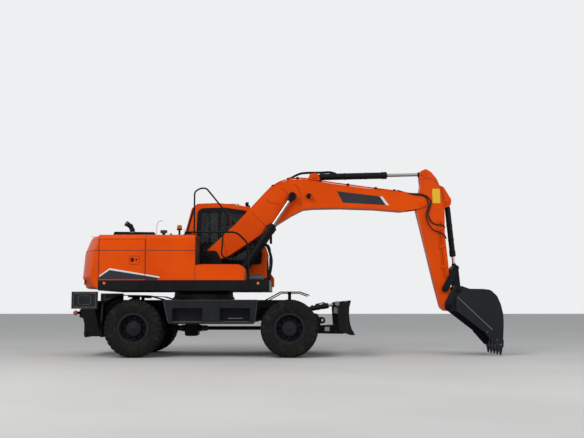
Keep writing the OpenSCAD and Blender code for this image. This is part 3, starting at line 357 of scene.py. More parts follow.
@dataclass(frozen=True)
class Lens:
    """A coloured lamp lens with fine prisms."""

    colour: Colour
    pitch: float = 260.0

    def make(self, name: str) -> bpy.types.Material:
        """Builds the material under a name."""
        n = Nodes(name)
        wave = n.add("ShaderNodeTexWave", {"Vector": n.coord, "Scale": self.pitch / 6.28,
                                           "Distortion": 0.0}, wave_type="BANDS",
                     bands_direction="Z")
        deep = tuple(c * 0.5 for c in self.colour)
        n.link(n.blend(wave.outputs["Fac"], self.colour, deep), "Base Color")
        n.bump(wave.outputs["Fac"], 0.3, 0.002)
        return n.fixed(Roughness=0.14, Coat_Weight=0.6)


@dataclass(frozen=True)
class Plastic:
    """Moulded plastic with a fine grain."""

    colour: Colour
    roughness: float = 0.5
    grain: float = 0.15

    def make(self, name: str) -> bpy.types.Material:
        """Builds the material under a name."""
        n = Nodes(name)
        cloud = n.ramp(n.noise(4.0, 4), 0.3, 0.8)
        pale = tuple(min(1.0, c * 1.25 + 0.004) for c in self.colour)
        n.link(n.blend(cloud, self.colour, pale), "Base Color")
        rough = (self.roughness - 0.06, self.roughness + 0.08)
        n.link(n.cloudy(40.0, 3, (0.2, 0.8), rough), "Roughness")
        n.bump(n.noise(520.0, 2), self.grain, 0.0015)
        return n.material


@dataclass(frozen=True)
class Cloth:
    """Woven seat cloth."""

    colour: Colour
    thread: Colour
    pitch: float = 95.0

    def make(self, name: str) -> bpy.types.Material:
        """Builds the material under a name."""
        n = Nodes(name)
        scale = {"Vector": n.coord, "Scale": self.pitch}
        across, along = (n.add("ShaderNodeTexWave", scale, bands_direction=way).outputs["Fac"]
                         for way in ("Y", "DIAGONAL"))
        weave = n.math("MULTIPLY", across, along)
        n.link(n.blend(weave, self.colour, self.thread), "Base Color")
        n.bump(weave, 0.4, 0.002)
        return n.fixed(Roughness=0.9, Sheen_Weight=0.25)


class Finish(Enum):
    """The finishes of the machine, each with the record's slot that it takes."""

    ORANGE = "orange_paint"
    CHARCOAL = "dark_paint"
    BLACK = "black_paint"
    GREY_PAD = "pad_paint"
    CHROME = "rod_chrome"
    WORN = "worn_steel"
    TYRE = "tyre_rubber"
    HOSE = "hose_rubber"
    GLASS = "pane_glass"
    IRON = "bare_iron"
    RED = "red_lens"
    AMBER = "amber_lens"
    CLEAR = "clear_lens"
    MIRROR = "mirror_face"
    GRAIN = "grained_plastic"
    CLOTH = "seat_fabric"
    NAVY = "stripe_navy"
    WHITE = "stripe_white"
    YELLOW = "plate_yellow"
    PALE = "plate_pale"
    SHADOW = "seam_shadow"
    SEAM = "weld_seam"
    RIM = "rim_paint"
    DULL = "dull_paint"

    def material(self) -> bpy.types.Material:
        """The finish's material, made once."""
        name = self.value + "_look"
        return bpy.data.materials.get(name) or RECIPES[self].make(name)

    @property
    def slot(self) -> str:
        """The record's material slot that goes with the finish."""
        return SLOTS.get(self, self.value)


RECIPES = {
    Finish.ORANGE: Paint((0.77, 0.077, 0.001), (0.68, 0.064, 0.001), dust_amount=0.08,
                         roughness=0.36, coat=0.0, shine=0.07),
    Finish.CHARCOAL: Paint((0.017, 0.018, 0.022), (0.013, 0.014, 0.017), (0.07, 0.06, 0.052),
                           roughness=0.45, coat=0.0, dust_amount=0.2, dust_top=1.1, shine=0.1),
    Finish.BLACK: Paint((0.0075, 0.008, 0.0095), (0.005, 0.005, 0.006), (0.06, 0.052, 0.045),
                        roughness=0.42, coat=0.0, dust_amount=0.16, dust_top=1.2, shine=0.1),
    Finish.GREY_PAD: Paint((0.075, 0.073, 0.07), (0.045, 0.045, 0.046), (0.2, 0.17, 0.14),
                           roughness=0.6, coat=0.0, dust_amount=0.5, dust_top=1.6),
    Finish.CHROME: Metal((0.40, 0.385, 0.37), 0.2, grain=0.02, stain_amount=0.1),
    Finish.WORN: Metal((0.14, 0.14, 0.145), 0.42, 0.3, (0.05, 0.035, 0.025), 0.4),
    Finish.TYRE: Rubber(),
    Finish.HOSE: Rubber((0.012, 0.012, 0.013), dust_amount=0.08, roughness=0.5),
    Finish.GLASS: Pane(),
    Finish.IRON: Metal((0.12, 0.12, 0.125), 0.6, 0.5, (0.06, 0.04, 0.03), 0.4),
    Finish.RED: Lens((0.6, 0.03, 0.015)),
    Finish.AMBER: Lens((0.85, 0.2, 0.01)),
    Finish.CLEAR: Lens((0.7, 0.72, 0.74)),
    Finish.MIRROR: Metal((0.8, 0.82, 0.84), 0.03, grain=0.0, stain_amount=0.03),
    Finish.GRAIN: Plastic((0.022, 0.022, 0.024)),
    Finish.CLOTH: Cloth((0.018, 0.018, 0.02), (0.05, 0.05, 0.055)),
    Finish.NAVY: Paint((0.012, 0.014, 0.022), (0.009, 0.01, 0.016), dust_amount=0.1,
                       roughness=0.3),
    Finish.WHITE: Paint((0.72, 0.72, 0.70), (0.66, 0.66, 0.64), dust_amount=0.1,
                        roughness=0.3),
    Finish.YELLOW: Paint((0.80, 0.5, 0.01), (0.72, 0.44, 0.01), dust_amount=0.1,
                         roughness=0.35),
    Finish.PALE: Paint((0.55, 0.55, 0.54), (0.48, 0.48, 0.47), dust_amount=0.2,
                       roughness=0.4),
    Finish.SHADOW: Plastic((0.012, 0.009, 0.008)),
    Finish.SEAM: Paint((0.22, 0.022, 0.001), (0.18, 0.018, 0.001), dust_amount=0.1,
                       roughness=0.5, coat=0.0, shine=0.1),
    Finish.RIM: Paint((0.006, 0.006, 0.007), (0.004, 0.004, 0.005), (0.05, 0.042, 0.035),
                      roughness=0.3, coat=0.0, dust_amount=0.15, dust_top=1.0, shine=0.25),
    Finish.DULL: Paint((0.010, 0.0095, 0.009), (0.008, 0.0075, 0.007), (0.05, 0.042, 0.035),
                       roughness=0.85, coat=0.0, dust_amount=0.3, dust_top=1.2, shine=0.0),
}

# Finishes of the scene alone, each with the record's slot that its pieces go with
SLOTS = {
    Finish.GREY_PAD: "dark_paint", Finish.WORN: "dark_paint", Finish.HOSE: "tyre_rubber",
    Finish.CLEAR: "pane_glass", Finish.MIRROR: "rod_chrome", Finish.GRAIN: "black_paint",
    Finish.NAVY: "black_paint", Finish.WHITE: "dark_paint", Finish.YELLOW: "amber_lens",
    Finish.PALE: "dark_paint", Finish.SHADOW: "black_paint", Finish.SEAM: "orange_paint",
    Finish.RIM: "dark_paint", Finish.DULL: "black_paint",
}


# The bench: pieces made with Blender's own operators


class Bench:
    """Makes and shapes pieces as by hand, all in metres of the row frame."""

    @staticmethod
    def clear() -> None:
        """Deselects everything."""
        bpy.ops.object.select_all(action="DESELECT")

    @classmethod
    def take(cls, *objs: Piece) -> None:
        """Selects these objects alone, the last one active."""
        cls.clear()
        for o in objs:
            o.select_set(True)
        bpy.context.view_layer.objects.active = objs[-1]

    @classmethod
    def settle(cls, obj: Piece) -> Piece:
        """Puts an object's place, turn and size into its mesh."""
        cls.take(obj)
        bpy.ops.object.transform_apply(location=True, rotation=True, scale=True)
        return obj

    @classmethod
    def apply(cls, obj: Piece, kind: str, **settings: object) -> Piece:
        """Adds a modifier and applies it.

        Args:
            obj: The piece.
            kind: The modifier's type.
            settings: Its properties.

        Returns:
            The same piece.
        """
        cls.take(obj)
        mod = obj.modifiers.new(kind.lower(), kind)
        for key, value in settings.items():
            setattr(mod, key, value)
        bpy.ops.object.modifier_apply(modifier=mod.name)
        return obj

    @classmethod
    def soften(cls, obj: Piece, width: float, segments: int = 2) -> Piece:
        """Bevels a piece's sharp edges by a width in millimetres."""
        if width <= 0:
            return obj
        return cls.apply(obj, "BEVEL", width=width / MM, segments=segments, limit_method="ANGLE",
                         angle_limit=math.radians(35), use_clamp_overlap=True)

    @classmethod
    def smooth(cls, obj: Piece, degrees: float = 35.0) -> Piece:
        """Shades a piece smooth up to an angle between faces."""
        cls.take(obj)
        bpy.ops.object.shade_smooth_by_angle(angle=math.radians(degrees))
        return obj

    @classmethod
    def edit(cls, obj: Piece, work: Callable[[], None]) -> Piece:
        """Runs operators on all of a piece in edit mode."""
        cls.take(obj)
        bpy.ops.object.mode_set(mode="EDIT")
        bpy.ops.mesh.select_all(action="SELECT")
        work()
        bpy.ops.object.mode_set(mode="OBJECT")
        return obj

    @classmethod
    def outward(cls, obj: Piece) -> Piece:
        """Merges doubles and turns all faces outwards."""
        def work() -> None:
            bpy.ops.mesh.remove_doubles(threshold=1e-5)
            bpy.ops.mesh.normals_make_consistent(inside=False)
        return cls.edit(obj, work)

    @staticmethod
    def facing(at: Vector, axis: Point3 | Vector) -> Matrix:
        """The matrix that stands a piece at a place, with its Z along an axis."""
        return Matrix.Translation(at) @ Vector(axis).to_track_quat("Z", "Y").to_matrix().to_4x4()

    @classmethod
    def block(cls, x: Point2, y: Point2, z: Point2, bevel: float = 4.0) -> Piece:
        """A block between two places on each axis, its edges softened.

        Args:
            x: From and to along X, in millimetres from the swing axis.
            y: From and to along Y.
            z: From and to along Z.
            bevel: Width of the softened edges.

        Returns:
            The block.
        """
        a, b = G.point(x[0], y[0], z[0]), G.point(x[1], y[1], z[1])
        cls.clear()
        bpy.ops.mesh.primitive_cube_add(size=1, location=(a + b) / 2)
        obj = bpy.context.object
        obj.scale = [abs(v) for v in (b - a)]
        return cls.soften(cls.settle(obj), bevel)

    @classmethod
    def sheet(cls, outline: Sequence[Point2], at: float, plane: Plane) -> Piece:
        """One flat face with an outline, at a place along the plane's third axis."""
        cls.clear()
        bpy.ops.mesh.primitive_circle_add(vertices=len(outline), radius=1, fill_type="NGON")
        obj = bpy.context.object
        for vertex, (a, b) in zip(obj.data.vertices, outline):
            vertex.co = plane.spot(a, b, at)
        return obj

    @classmethod
    def plate(cls, outline: Sequence[Point2], lo: float, hi: float, plane: Plane = Plane.XZ,
              bevel: float = 3.0) -> Piece:
        """A flat plate with an outline.

        Args:
            outline: Its corners in the plane's two axes, in millimetres.
            lo: Where the plate starts along the third axis.
            hi: Where it ends.
            plane: The plane of the outline.
            bevel: Width of the softened edges.

        Returns:
            The plate.
        """
        obj = cls.sheet(outline, lo, plane)
        step = plane.spot(0, 0, hi) - plane.spot(0, 0, lo)

        def work() -> None:
            bpy.ops.mesh.extrude_region_move(TRANSFORM_OT_translate={"value": step})
            bpy.ops.mesh.select_all(action="SELECT")
            bpy.ops.mesh.normals_make_consistent(inside=False)
        return cls.soften(cls.edit(obj, work), bevel)

    @classmethod
    def rod(cls, a: Point3, b: Point3, radius: float, sides: int = 32,
            bevel: float = 2.0) -> Piece:
        """A round bar between two points, with softened ends.

        Args:
            a: Its start, in millimetres.
            b: Its end.
            radius: Its radius.
            sides: Number of its flats.
            bevel: Width of the softened edges.

        Returns:
            The bar.
        """
        p, q = G.point(*a), G.point(*b)
        cls.clear()
        bpy.ops.mesh.primitive_cylinder_add(vertices=sides, radius=radius / MM,
                                            depth=(q - p).length)
        obj = bpy.context.object
        obj.matrix_world = cls.facing((p + q) / 2, q - p)
        return cls.smooth(cls.soften(cls.settle(obj), bevel))

    @classmethod
    def lathe(cls, profile: Sequence[Point2], at: Point3, axis: Point3, steps: int = 48) -> Piece:
        """A turned piece.

        Args:
            profile: Rows of distance along the axis and radius, in millimetres.
            at: Where the axis starts, in millimetres.
            axis: The direction of the axis.
            steps: Number of facets round it.

        Returns:
            The turned piece.
        """
        cls.clear()
        bpy.ops.mesh.primitive_circle_add(vertices=len(profile), radius=1, fill_type="NOTHING")
        obj = bpy.context.object
        for vertex, (along, radius) in zip(obj.data.vertices, profile):
            vertex.co = (radius / MM, 0, along / MM)
        closed = profile[0][1] > 0.01 and profile[-1][1] > 0.01
        if not closed:
            bpy.context.tool_settings.mesh_select_mode = (False, True, False)
            for part in (obj.data.vertices, obj.data.edges):
                part.foreach_set("select", [False] * len(part))
            for edge in obj.data.edges:
                edge.select = set(edge.vertices) == {0, len(profile) - 1}
            cls.take(obj)
            bpy.ops.object.mode_set(mode="EDIT")
            bpy.ops.mesh.delete(type="EDGE")
            bpy.ops.mesh.select_mode(type="VERT")
            bpy.ops.object.mode_set(mode="OBJECT")

        def turn() -> None:
            bpy.ops.mesh.spin(steps=steps, angle=math.tau, center=(0, 0, 0), axis=(0, 0, 1),
                              use_auto_merge=True)
        cls.edit(obj, turn)
        obj.matrix_world = cls.facing(G.point(*at), axis)
        return cls.smooth(cls.outward(cls.settle(obj)))

    @classmethod
    def pipe(cls, points: Sequence[Point3], radius: float, round_off: float = 60.0,
             sides: int = 10) -> Piece:
        """A bent pipe or hose through points.

        Args:
            points: Its corners, in millimetres.
            radius: Its radius.
            round_off: How far from a corner its bend starts.
            sides: Number of its flats.

        Returns:
            The pipe as a closed mesh.
        """
        route = cls.rounded([Vector(p) for p in points], round_off)
        cls.clear()
        bpy.ops.curve.primitive_nurbs_path_add()
        obj = bpy.context.object
        curve = obj.data
        curve.splines.clear()
        spline = curve.splines.new("POLY")
        spline.points.add(len(route) - 1)
        for knot, p in zip(spline.points, route):
            knot.co = (*G.point(*p), 1.0)
        curve.bevel_depth = radius / MM
        curve.bevel_resolution = max(1, sides // 4)
        curve.use_fill_caps = True
        obj.location = (0, 0, 0)
        cls.take(obj)
        bpy.ops.object.convert(target="MESH")
        return cls.smooth(cls.outward(cls.settle(bpy.context.object)), 50)

    @staticmethod
    def rounded(points: list[Vector], cut: float) -> list[Vector]:
        """A route with each corner turned into a short arc of points."""
        out = [points[0]]
        for a, p, b in zip(points, points[1:], points[2:]):
            r = min(cut, (a - p).length * 0.45, (b - p).length * 0.45)
            s, e = p + (a - p).normalized() * r, p + (b - p).normalized() * r
            for k in range(6):
                t = k / 5
                out.append(s.lerp(p, t).lerp(p.lerp(e, t), t))
        out.append(points[-1])
        return out

    @classmethod
    def bolt(cls, at: Point3, axis: Point3, across: float = 24.0, height: float = 14.0,
             washer: bool = True) -> Piece:
        """A hexagon bolt head on its washer.

        Args:
            at: The point of the seat under it, in millimetres.
            axis: The direction in which the head stands out.
            across: Width over the flats.
            height: Height of the head.
            washer: Whether a washer lies under it.

        Returns:
            The bolt head.
        """
        cls.clear()
        bpy.ops.mesh.primitive_cylinder_add(vertices=6, radius=across / (HEX * MM),
                                            depth=height / MM)
        head = bpy.context.object
        thick = 3.0 if washer else 0.0
        head.data.transform(Matrix.Translation((0, 0, (height / 2 + thick) / MM)))
        cls.soften(head, across * 0.06, 1)
        parts = [head]
        if washer:
            cls.clear()
            bpy.ops.mesh.primitive_cylinder_add(vertices=20, radius=across / (WASHER * MM),
                                                depth=thick / MM)
            ring = bpy.context.object
            ring.data.transform(Matrix.Translation((0, 0, thick / 2 / MM)))
            parts.insert(0, ring)
        made = cls.join(parts)
        made.matrix_world = cls.facing(G.point(*at), axis)
        return cls.settle(made)

    @classmethod
    def join(cls, parts: Sequence[Piece]) -> Piece:
        """Joins pieces into one mesh."""
        parts = list(parts)
        if len(parts) == 1:
            return parts[0]
        cls.take(*parts)
        bpy.ops.object.join()
        return bpy.context.object

    @classmethod
    def copy(cls, obj: Piece, how: Matrix) -> Piece:
        """A copy with its own mesh, moved by a matrix; a mirrored one is turned right side out."""
        made = obj.copy()
        made.data = obj.data.copy()
        bpy.context.collection.objects.link(made)
        made.data.transform(how)
        if how.determinant() < 0:
            made.data.flip_normals()
        return made

    @classmethod
    def spread(cls, obj: Piece, places: Sequence[Point3]) -> Piece:
        """Copies a piece to each place of a list, in one mesh, and drops the first one."""
        first = Vector(places[0])
        made = [cls.copy(obj, Matrix.Translation((Vector(p) - first) / MM)) for p in places[1:]]
        return cls.join([*made, obj])

    @classmethod
    def mirrored(cls, obj: Piece) -> Piece:
        """The piece and its mirror image across the machine's middle, in one mesh."""
        return cls.join([cls.copy(obj, Matrix.Scale(-1, 4, Vector((0, 1, 0)))), obj])

    @classmethod
    def ring(cls, obj: Piece, centre: Point3, axis: Point3, count: int) -> Piece:
        """Copies a piece round an axis, in one mesh."""
        c = G.point(*centre)
        made = [obj]
        for k in range(1, count):
            turn = Matrix.Rotation(math.tau * k / count, 4, Vector(axis))
            made.append(cls.copy(obj, Matrix.Translation(c) @ turn @ Matrix.Translation(-c)))
        return cls.join(made)


def finish_piece(parts: Piece | Sequence[Piece], name: str, body: str | None, look: Finish,
                 replaces: Iterable[str] = ()) -> Piece:
    """Joins parts to a piece, names it, gives it its look and lets it ride on a body.

    Args:
        parts: The piece, or the parts that become one piece.
        name: Its plain name.
        body: The CAD body that it moves with, or None for a piece that runs between two bodies and
            rides on neither.
        look: Its finish.
        replaces: CAD nodes that it stands for.

    Returns:
        The finished piece.
    """
    obj = parts if isinstance(parts, Piece) else Bench.join(parts)
    obj.name = name
    obj.data.name = name
    obj.data.materials.clear()
    obj.data.materials.append(look.material())
    if body:
        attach(obj, body)
    for node in replaces:
        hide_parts(node)
    log.info("%s on %s: %d faces, %s", name, body, len(obj.data.polygons), look.name.lower())
    return obj


def finish_pair(parts: Piece | Sequence[Piece], name: str, body: str, look: Finish) -> Piece:
    """Finishes the parts of one flank together with their mirror image as one piece."""
    obj = parts if isinstance(parts, Piece) else Bench.join(parts)
    return finish_piece(Bench.mirrored(obj), name, body, look)


def repaint(frame: dict, node: str, look: Finish) -> None:
    """Gives a CAD node a finish and keeps its mesh."""
    mesh = frame["nodes"][node].data
    mesh.materials.clear()
    mesh.materials.append(look.material())


@dataclass
class Studio:
    """Floor, lights and the camera of the photograph."""

    camera: Point3 = (0.021, -17.35, 0.938)
    lens: float = 55.3
    tilt: float = 5.48
    far_clip: float = 300.0
    light: Colour = (0.86, 0.9, 0.95)
    light_strength: float = 0.52
    backdrop: Colour = (0.93, 0.94, 0.95)
    backdrop_strength: float = 0.92
    floor_size: float = 160.0
    aim: Point3 = (0.0, 0.0, 1.4)
    key: tuple[Point3, float, float] = ((-7.0, -11.0, 11.0), 8.0, 1120.0)
    fill: tuple[Point3, float, float] = ((9.0, -9.0, 7.0), 9.0, 430.0)

    def build(self) -> None:
        """Sets up the world, the floor, the lamps and the camera."""
        scene = bpy.context.scene
        scene.view_settings.view_transform = "Standard"
        self.world(scene)
        self.floor()
        self.lamps()
        cam = bpy.data.objects.new("camera", bpy.data.cameras.new("camera"))
        scene.collection.objects.link(cam)
        cam.data.lens = self.lens
        cam.data.sensor_width = 36
        cam.data.clip_end = self.far_clip
        cam.location = self.camera
        cam.rotation_euler = (math.radians(90 + self.tilt), 0, 0)
        scene.camera = cam

    def world(self, scene: bpy.types.Scene) -> None:
        """A pale, even world, near white to the camera, to glass and in reflections."""
        world = bpy.data.worlds.new("studio")
        world.use_nodes = True
        scene.world = world
        tree = world.node_tree
        back = tree.nodes["Background"]
        seen = tree.nodes.new("ShaderNodeBackground")
        for node, colour, strength in ((back, self.light, self.light_strength),
                                       (seen, self.backdrop, self.backdrop_strength)):
            node.inputs["Color"].default_value = (*colour, 1)
            node.inputs["Strength"].default_value = strength
        path = tree.nodes.new("ShaderNodeLightPath").outputs
        pale = path["Is Camera Ray"]
        for kind in ("Is Transmission Ray", "Is Glossy Ray"):
            either = tree.nodes.new("ShaderNodeMath")
            either.operation = "MAXIMUM"
            tree.links.new(pale, either.inputs[0])
            tree.links.new(path[kind], either.inputs[1])
            pale = either.outputs[0]
        mix = tree.nodes.new("ShaderNodeMixShader")
        for i, out in enumerate((pale, back.outputs[0], seen.outputs[0])):
            tree.links.new(out, mix.inputs[i])
        tree.links.new(mix.outputs[0], tree.nodes["World Output"].inputs[0])

    def floor(self) -> None:
        """A plain pale floor."""
        Bench.clear()
        bpy.ops.mesh.primitive_plane_add(size=self.floor_size)
        obj = bpy.context.object
        obj.name = "studio_floor"
        n = Nodes("studio_floor")
        tint = n.blend(n.ramp(n.noise(0.35, 5), 0.3, 0.7), (0.56, 0.55, 0.53), (0.6, 0.59, 0.57))
        n.link(tint, "Base Color")
        n.shader.inputs["Roughness"].default_value = 0.85
        obj.data.materials.append(n.material)

    def lamps(self) -> None:
        """A broad key lamp to the left of the camera and a soft fill to its right."""
        for name, (place, size, power) in (("key", self.key), ("fill", self.fill)):
            lamp = bpy.data.lights.new(name, "AREA")
            lamp.energy = power
            lamp.size = size
            obj = bpy.data.objects.new(name, lamp)
            bpy.context.scene.collection.objects.link(obj)
            obj.location = place
            aim = Vector(self.aim) - Vector(place)
            obj.rotation_euler = aim.to_track_quat("-Z", "Y").to_euler()


@dataclass
class Wheels:
    """Twin tyres with lugs, and the nuts of the rims."""

    tyre_r: float = 520.0
    tyre_w: float = 278.0
    bead_r: float = 254.3
    outer_y: float = 1106.0
    inner_y: float = 788.0
    lug_count: int = 32
    lug_h: float = 22.0
    nut_circle: float = 118.0
    nut_count: int = 10

    def build(self) -> None:
        """Builds the tyres and nuts of all four corners."""
        outer = self.tyre(self.outer_y)
        inner = self.tyre(self.inner_y)
        pair = Bench.join([inner, outer])
        for end, x in (("front", G.front_axle_x), ("rear", G.rear_axle_x)):
            for side in BOTH:
                how = Matrix.Translation((x / MM, 0, 0))
                if side is Side.RIGHT:
                    how = Matrix.Scale(-1, 4, Vector((0, 1, 0))) @ how
                body = f"{end}_wheels_{side.word}"
                finish_piece(Bench.copy(pair, how), f"tyres_{end}_{side.word}_tread", body,
                             Finish.TYRE, [f"tyres_{end}_{side.word}"])
                self.nuts(x, side, body)
        bpy.data.objects.remove(pair)

    def tyre(self, y: float) -> Piece:
        """One tyre on the middle plane of the swing axis, with its lugs.

        Args:
            y: The middle of its tread.

        Returns:
            The tyre.
        """
        half, base = self.tyre_w / 2, self.tyre_r - self.lug_h
        bead = self.bead_r + 34
        profile = [(-half + 49, self.bead_r), (-half + 41, bead), (-half + 22, bead + 2),
                   (-half + 12, bead + 30), (-half + 3, bead + 62), (-half, bead + 98),
                   (-half + 2, bead + 132), (-half + 6, base - 46), (-half + 12, base - 34),
                   (-half + 14, base - 20), (-half + 24, base - 6), (-half + 46, base)]
        profile += [(-a, r) for a, r in reversed(profile)]
        body = Bench.lathe(profile, (0, y, G.axle_z), (0, 1, 0), 96)
        centre = (0.0, y, G.axle_z)
        lugs = []
        for side in SIGNS:
            lug = self.lug(y, side)
            made = Bench.ring(lug, centre, (0, 1, 0), self.lug_count)
            if side < 0:
                c = G.point(*centre)
                made.data.transform(Matrix.Translation(c)
                                    @ Matrix.Rotation(math.pi / self.lug_count, 4, "Y")
                                    @ Matrix.Translation(-c))
            lugs.append(made)
        return Bench.smooth(Bench.join([*lugs, body]), 30)

    def lug(self, y: float, side: int) -> Piece:
        """One tread lug, from the middle of the tread over the shoulder.

        Args:
            y: The middle of the tyre's tread.
            side: 1 for the lug on the +Y shoulder, -1 for the other.

        Returns:
            The lug, at the top of the tyre.
        """
        half, top = self.tyre_w / 2, G.axle_z + self.tyre_r
        x0, x1 = 22.0, 34.0
        skew = 16.0 * side
        rows = [(-10.0, top - 0.5, x0, -0.4), (70.0, top - 0.8, x0, 0.0),
                (half - 34, top - 5, x1, 0.6), (half - 12, top - 18, x1, 1.0),
                (half - 1.5, top - 52, x1 - 8, 1.0), (half - 4, top - 74, x1 - 14, 1.0)]
        Bench.clear()
        bpy.ops.mesh.primitive_grid_add(x_subdivisions=1, y_subdivisions=len(rows) - 1, size=1)
        obj = bpy.context.object
        verts = sorted(obj.data.vertices, key=lambda v: (round(v.co.y, 4), v.co.x))
        for k, (out, z, w, s) in enumerate(rows):
            for vertex, sign in zip(verts[2 * k:2 * k + 2], (-1, 1)):
                vertex.co = G.point(sign * w + skew * s, y + side * out, z)

        def work() -> None:
            bpy.ops.mesh.extrude_region_shrink_fatten(TRANSFORM_OT_shrink_fatten={"value": 0.0})
            bpy.ops.transform.resize(value=(1.25, 1.0, 1.0),
                                     center_override=G.point(skew * 0.5, y, top - 60))
            bpy.ops.transform.translate(value=(0, -side * 0.012, -0.034))
            bpy.ops.mesh.select_all(action="SELECT")
            bpy.ops.mesh.normals_make_consistent(inside=False)
        Bench.edit(obj, work)
        return Bench.soften(obj, 3.0, 1)

    def nuts(self, x: float, side: Side, body: str) -> None:
        """The ring of wheel nuts, the hub's screws and its plug."""
        y = side.value
        face = y * 1024.0
        nut = Bench.bolt((x, face, G.axle_z + 178), (0, y, 0), 32, 24)
        parts = [Bench.ring(nut, (x, face, G.axle_z), (0, 1, 0), self.nut_count)]
        screw = Bench.bolt((x, y * 1117, G.axle_z + self.nut_circle), (0, y, 0), 16, 9, False)
        parts.append(Bench.ring(screw, (x, face, G.axle_z), (0, 1, 0), 12))
        cap = Bench.rod((x, y * 1126, G.axle_z), (x, y * 1136, G.axle_z), 46, 40, 5)
        parts.append(cap)
        finish_piece(Bench.smooth(Bench.join(parts)), body + "_nuts", body, Finish.RIM)


def soft_outline(table: Sequence[Corner], steps: int = 5) -> list[Point2]:
    """A closed outline with rounded corners.

    Args:
        table: Rows of first place, second place and corner radius.
        steps: Number of segments in a corner.

    Returns:
        The outline's points.
    """
    out: list[Point2] = []
    for i, (a, b, r) in enumerate(table):
        p = Vector((a, b))
        if r == 0:
            out.append((a, b))
            continue
        u = (Vector(table[i - 1][:2]) - p).normalized()
        v = (Vector(table[(i + 1) % len(table)][:2]) - p).normalized()
        half = math.acos(max(-1.0, min(1.0, u.dot(v)))) / 2
        mid = p + (u + v).normalized() * r / math.sin(half)
        s, e = p + u * r / math.tan(half) - mid, p + v * r / math.tan(half) - mid
        turn = math.atan2(s.x * e.y - s.y * e.x, s.dot(e))
        for k in range(steps + 1):
            a_k = turn * k / steps
            out.append((mid.x + s.x * math.cos(a_k) - s.y * math.sin(a_k),
                        mid.y + s.x * math.sin(a_k) + s.y * math.cos(a_k)))
    return out


def oblong(a0: float, b0: float, a1: float, b1: float, r: float) -> list[Corner]:
    """The corner table of an oblong, from its first corner to the opposite one."""
    return [(a0, b0, r), (a1, b0, r), (a1, b1, r), (a0, b1, r)]


def shifted(table: Sequence[Corner], d: float, mid: Point2) -> list[Corner]:
    """A corner table with every corner moved away from a middle point by d on both axes."""
    return [(a + d * math.copysign(1, a - mid[0]), b + d * math.copysign(1, b - mid[1]),
             max(r + d / 2, 1.0)) for a, b, r in table]


def trim_ring(table: Sequence[Corner], width: float, lo: float, hi: float,
              plane: Plane = Plane.XZ) -> Piece:
    """A flat frame that follows an outline, such as a window's rubber.

    Args:
        table: The outline's corners with their radii.
        width: Width of the frame, inwards from the outline.
        lo: Where it starts along the third axis.
        hi: Where it ends.
        plane: The plane of the outline.

    Returns:
        The frame.
    """
    obj = Bench.sheet(soft_outline(table), lo, plane)
    step = plane.spot(0, 0, hi) - plane.spot(0, 0, lo)

    def work() -> None:
        bpy.ops.mesh.inset(thickness=width / MM, depth=0)
        bpy.ops.mesh.delete(type="FACE")
        bpy.ops.mesh.select_all(action="SELECT")
        bpy.ops.mesh.extrude_region_move(TRANSFORM_OT_translate={"value": step})
        bpy.ops.mesh.select_all(action="SELECT")
        bpy.ops.mesh.normals_make_consistent(inside=False)
    return Bench.soften(Bench.edit(obj, work), 2.0, 1)


def pin_cap(at: Point3, side: float, radius: float, bolts: int = 2) -> Piece:
    """The end of a joint's pin: a turned cap with its bolts and a grease nipple.

    Args:
        at: The middle of the seat under it.
        side: 1 where it stands out to the left, -1 to the right.
        radius: Radius of the cap.
        bolts: Number of bolts on it.

    Returns:
        The cap.
    """
    profile = [(0, 0), (0, radius), (7, radius), (12, radius - 5), (12, radius * 0.42),
               (8, radius * 0.36), (8, 0)]
    parts = [Bench.lathe(profile, at, (0, side, 0), 32)]
    for k in range(bolts):
        a = math.tau * k / bolts + 0.6
        spot = (at[0] + radius * 0.66 * math.cos(a), at[1] + side * 11,
                at[2] + radius * 0.66 * math.sin(a))
        parts.append(Bench.bolt(spot, (0, side, 0), max(10.0, radius * 0.26), radius * 0.14 + 3,
                                False))
    tip = (at[0], at[1] + side * 7, at[2])
    parts.append(Bench.lathe([(0, 0), (0, 6), (8, 6), (10, 3.5), (16, 4.5), (18, 0)], tip,
                             (0, side, 0), 10))
    return Bench.join(parts)


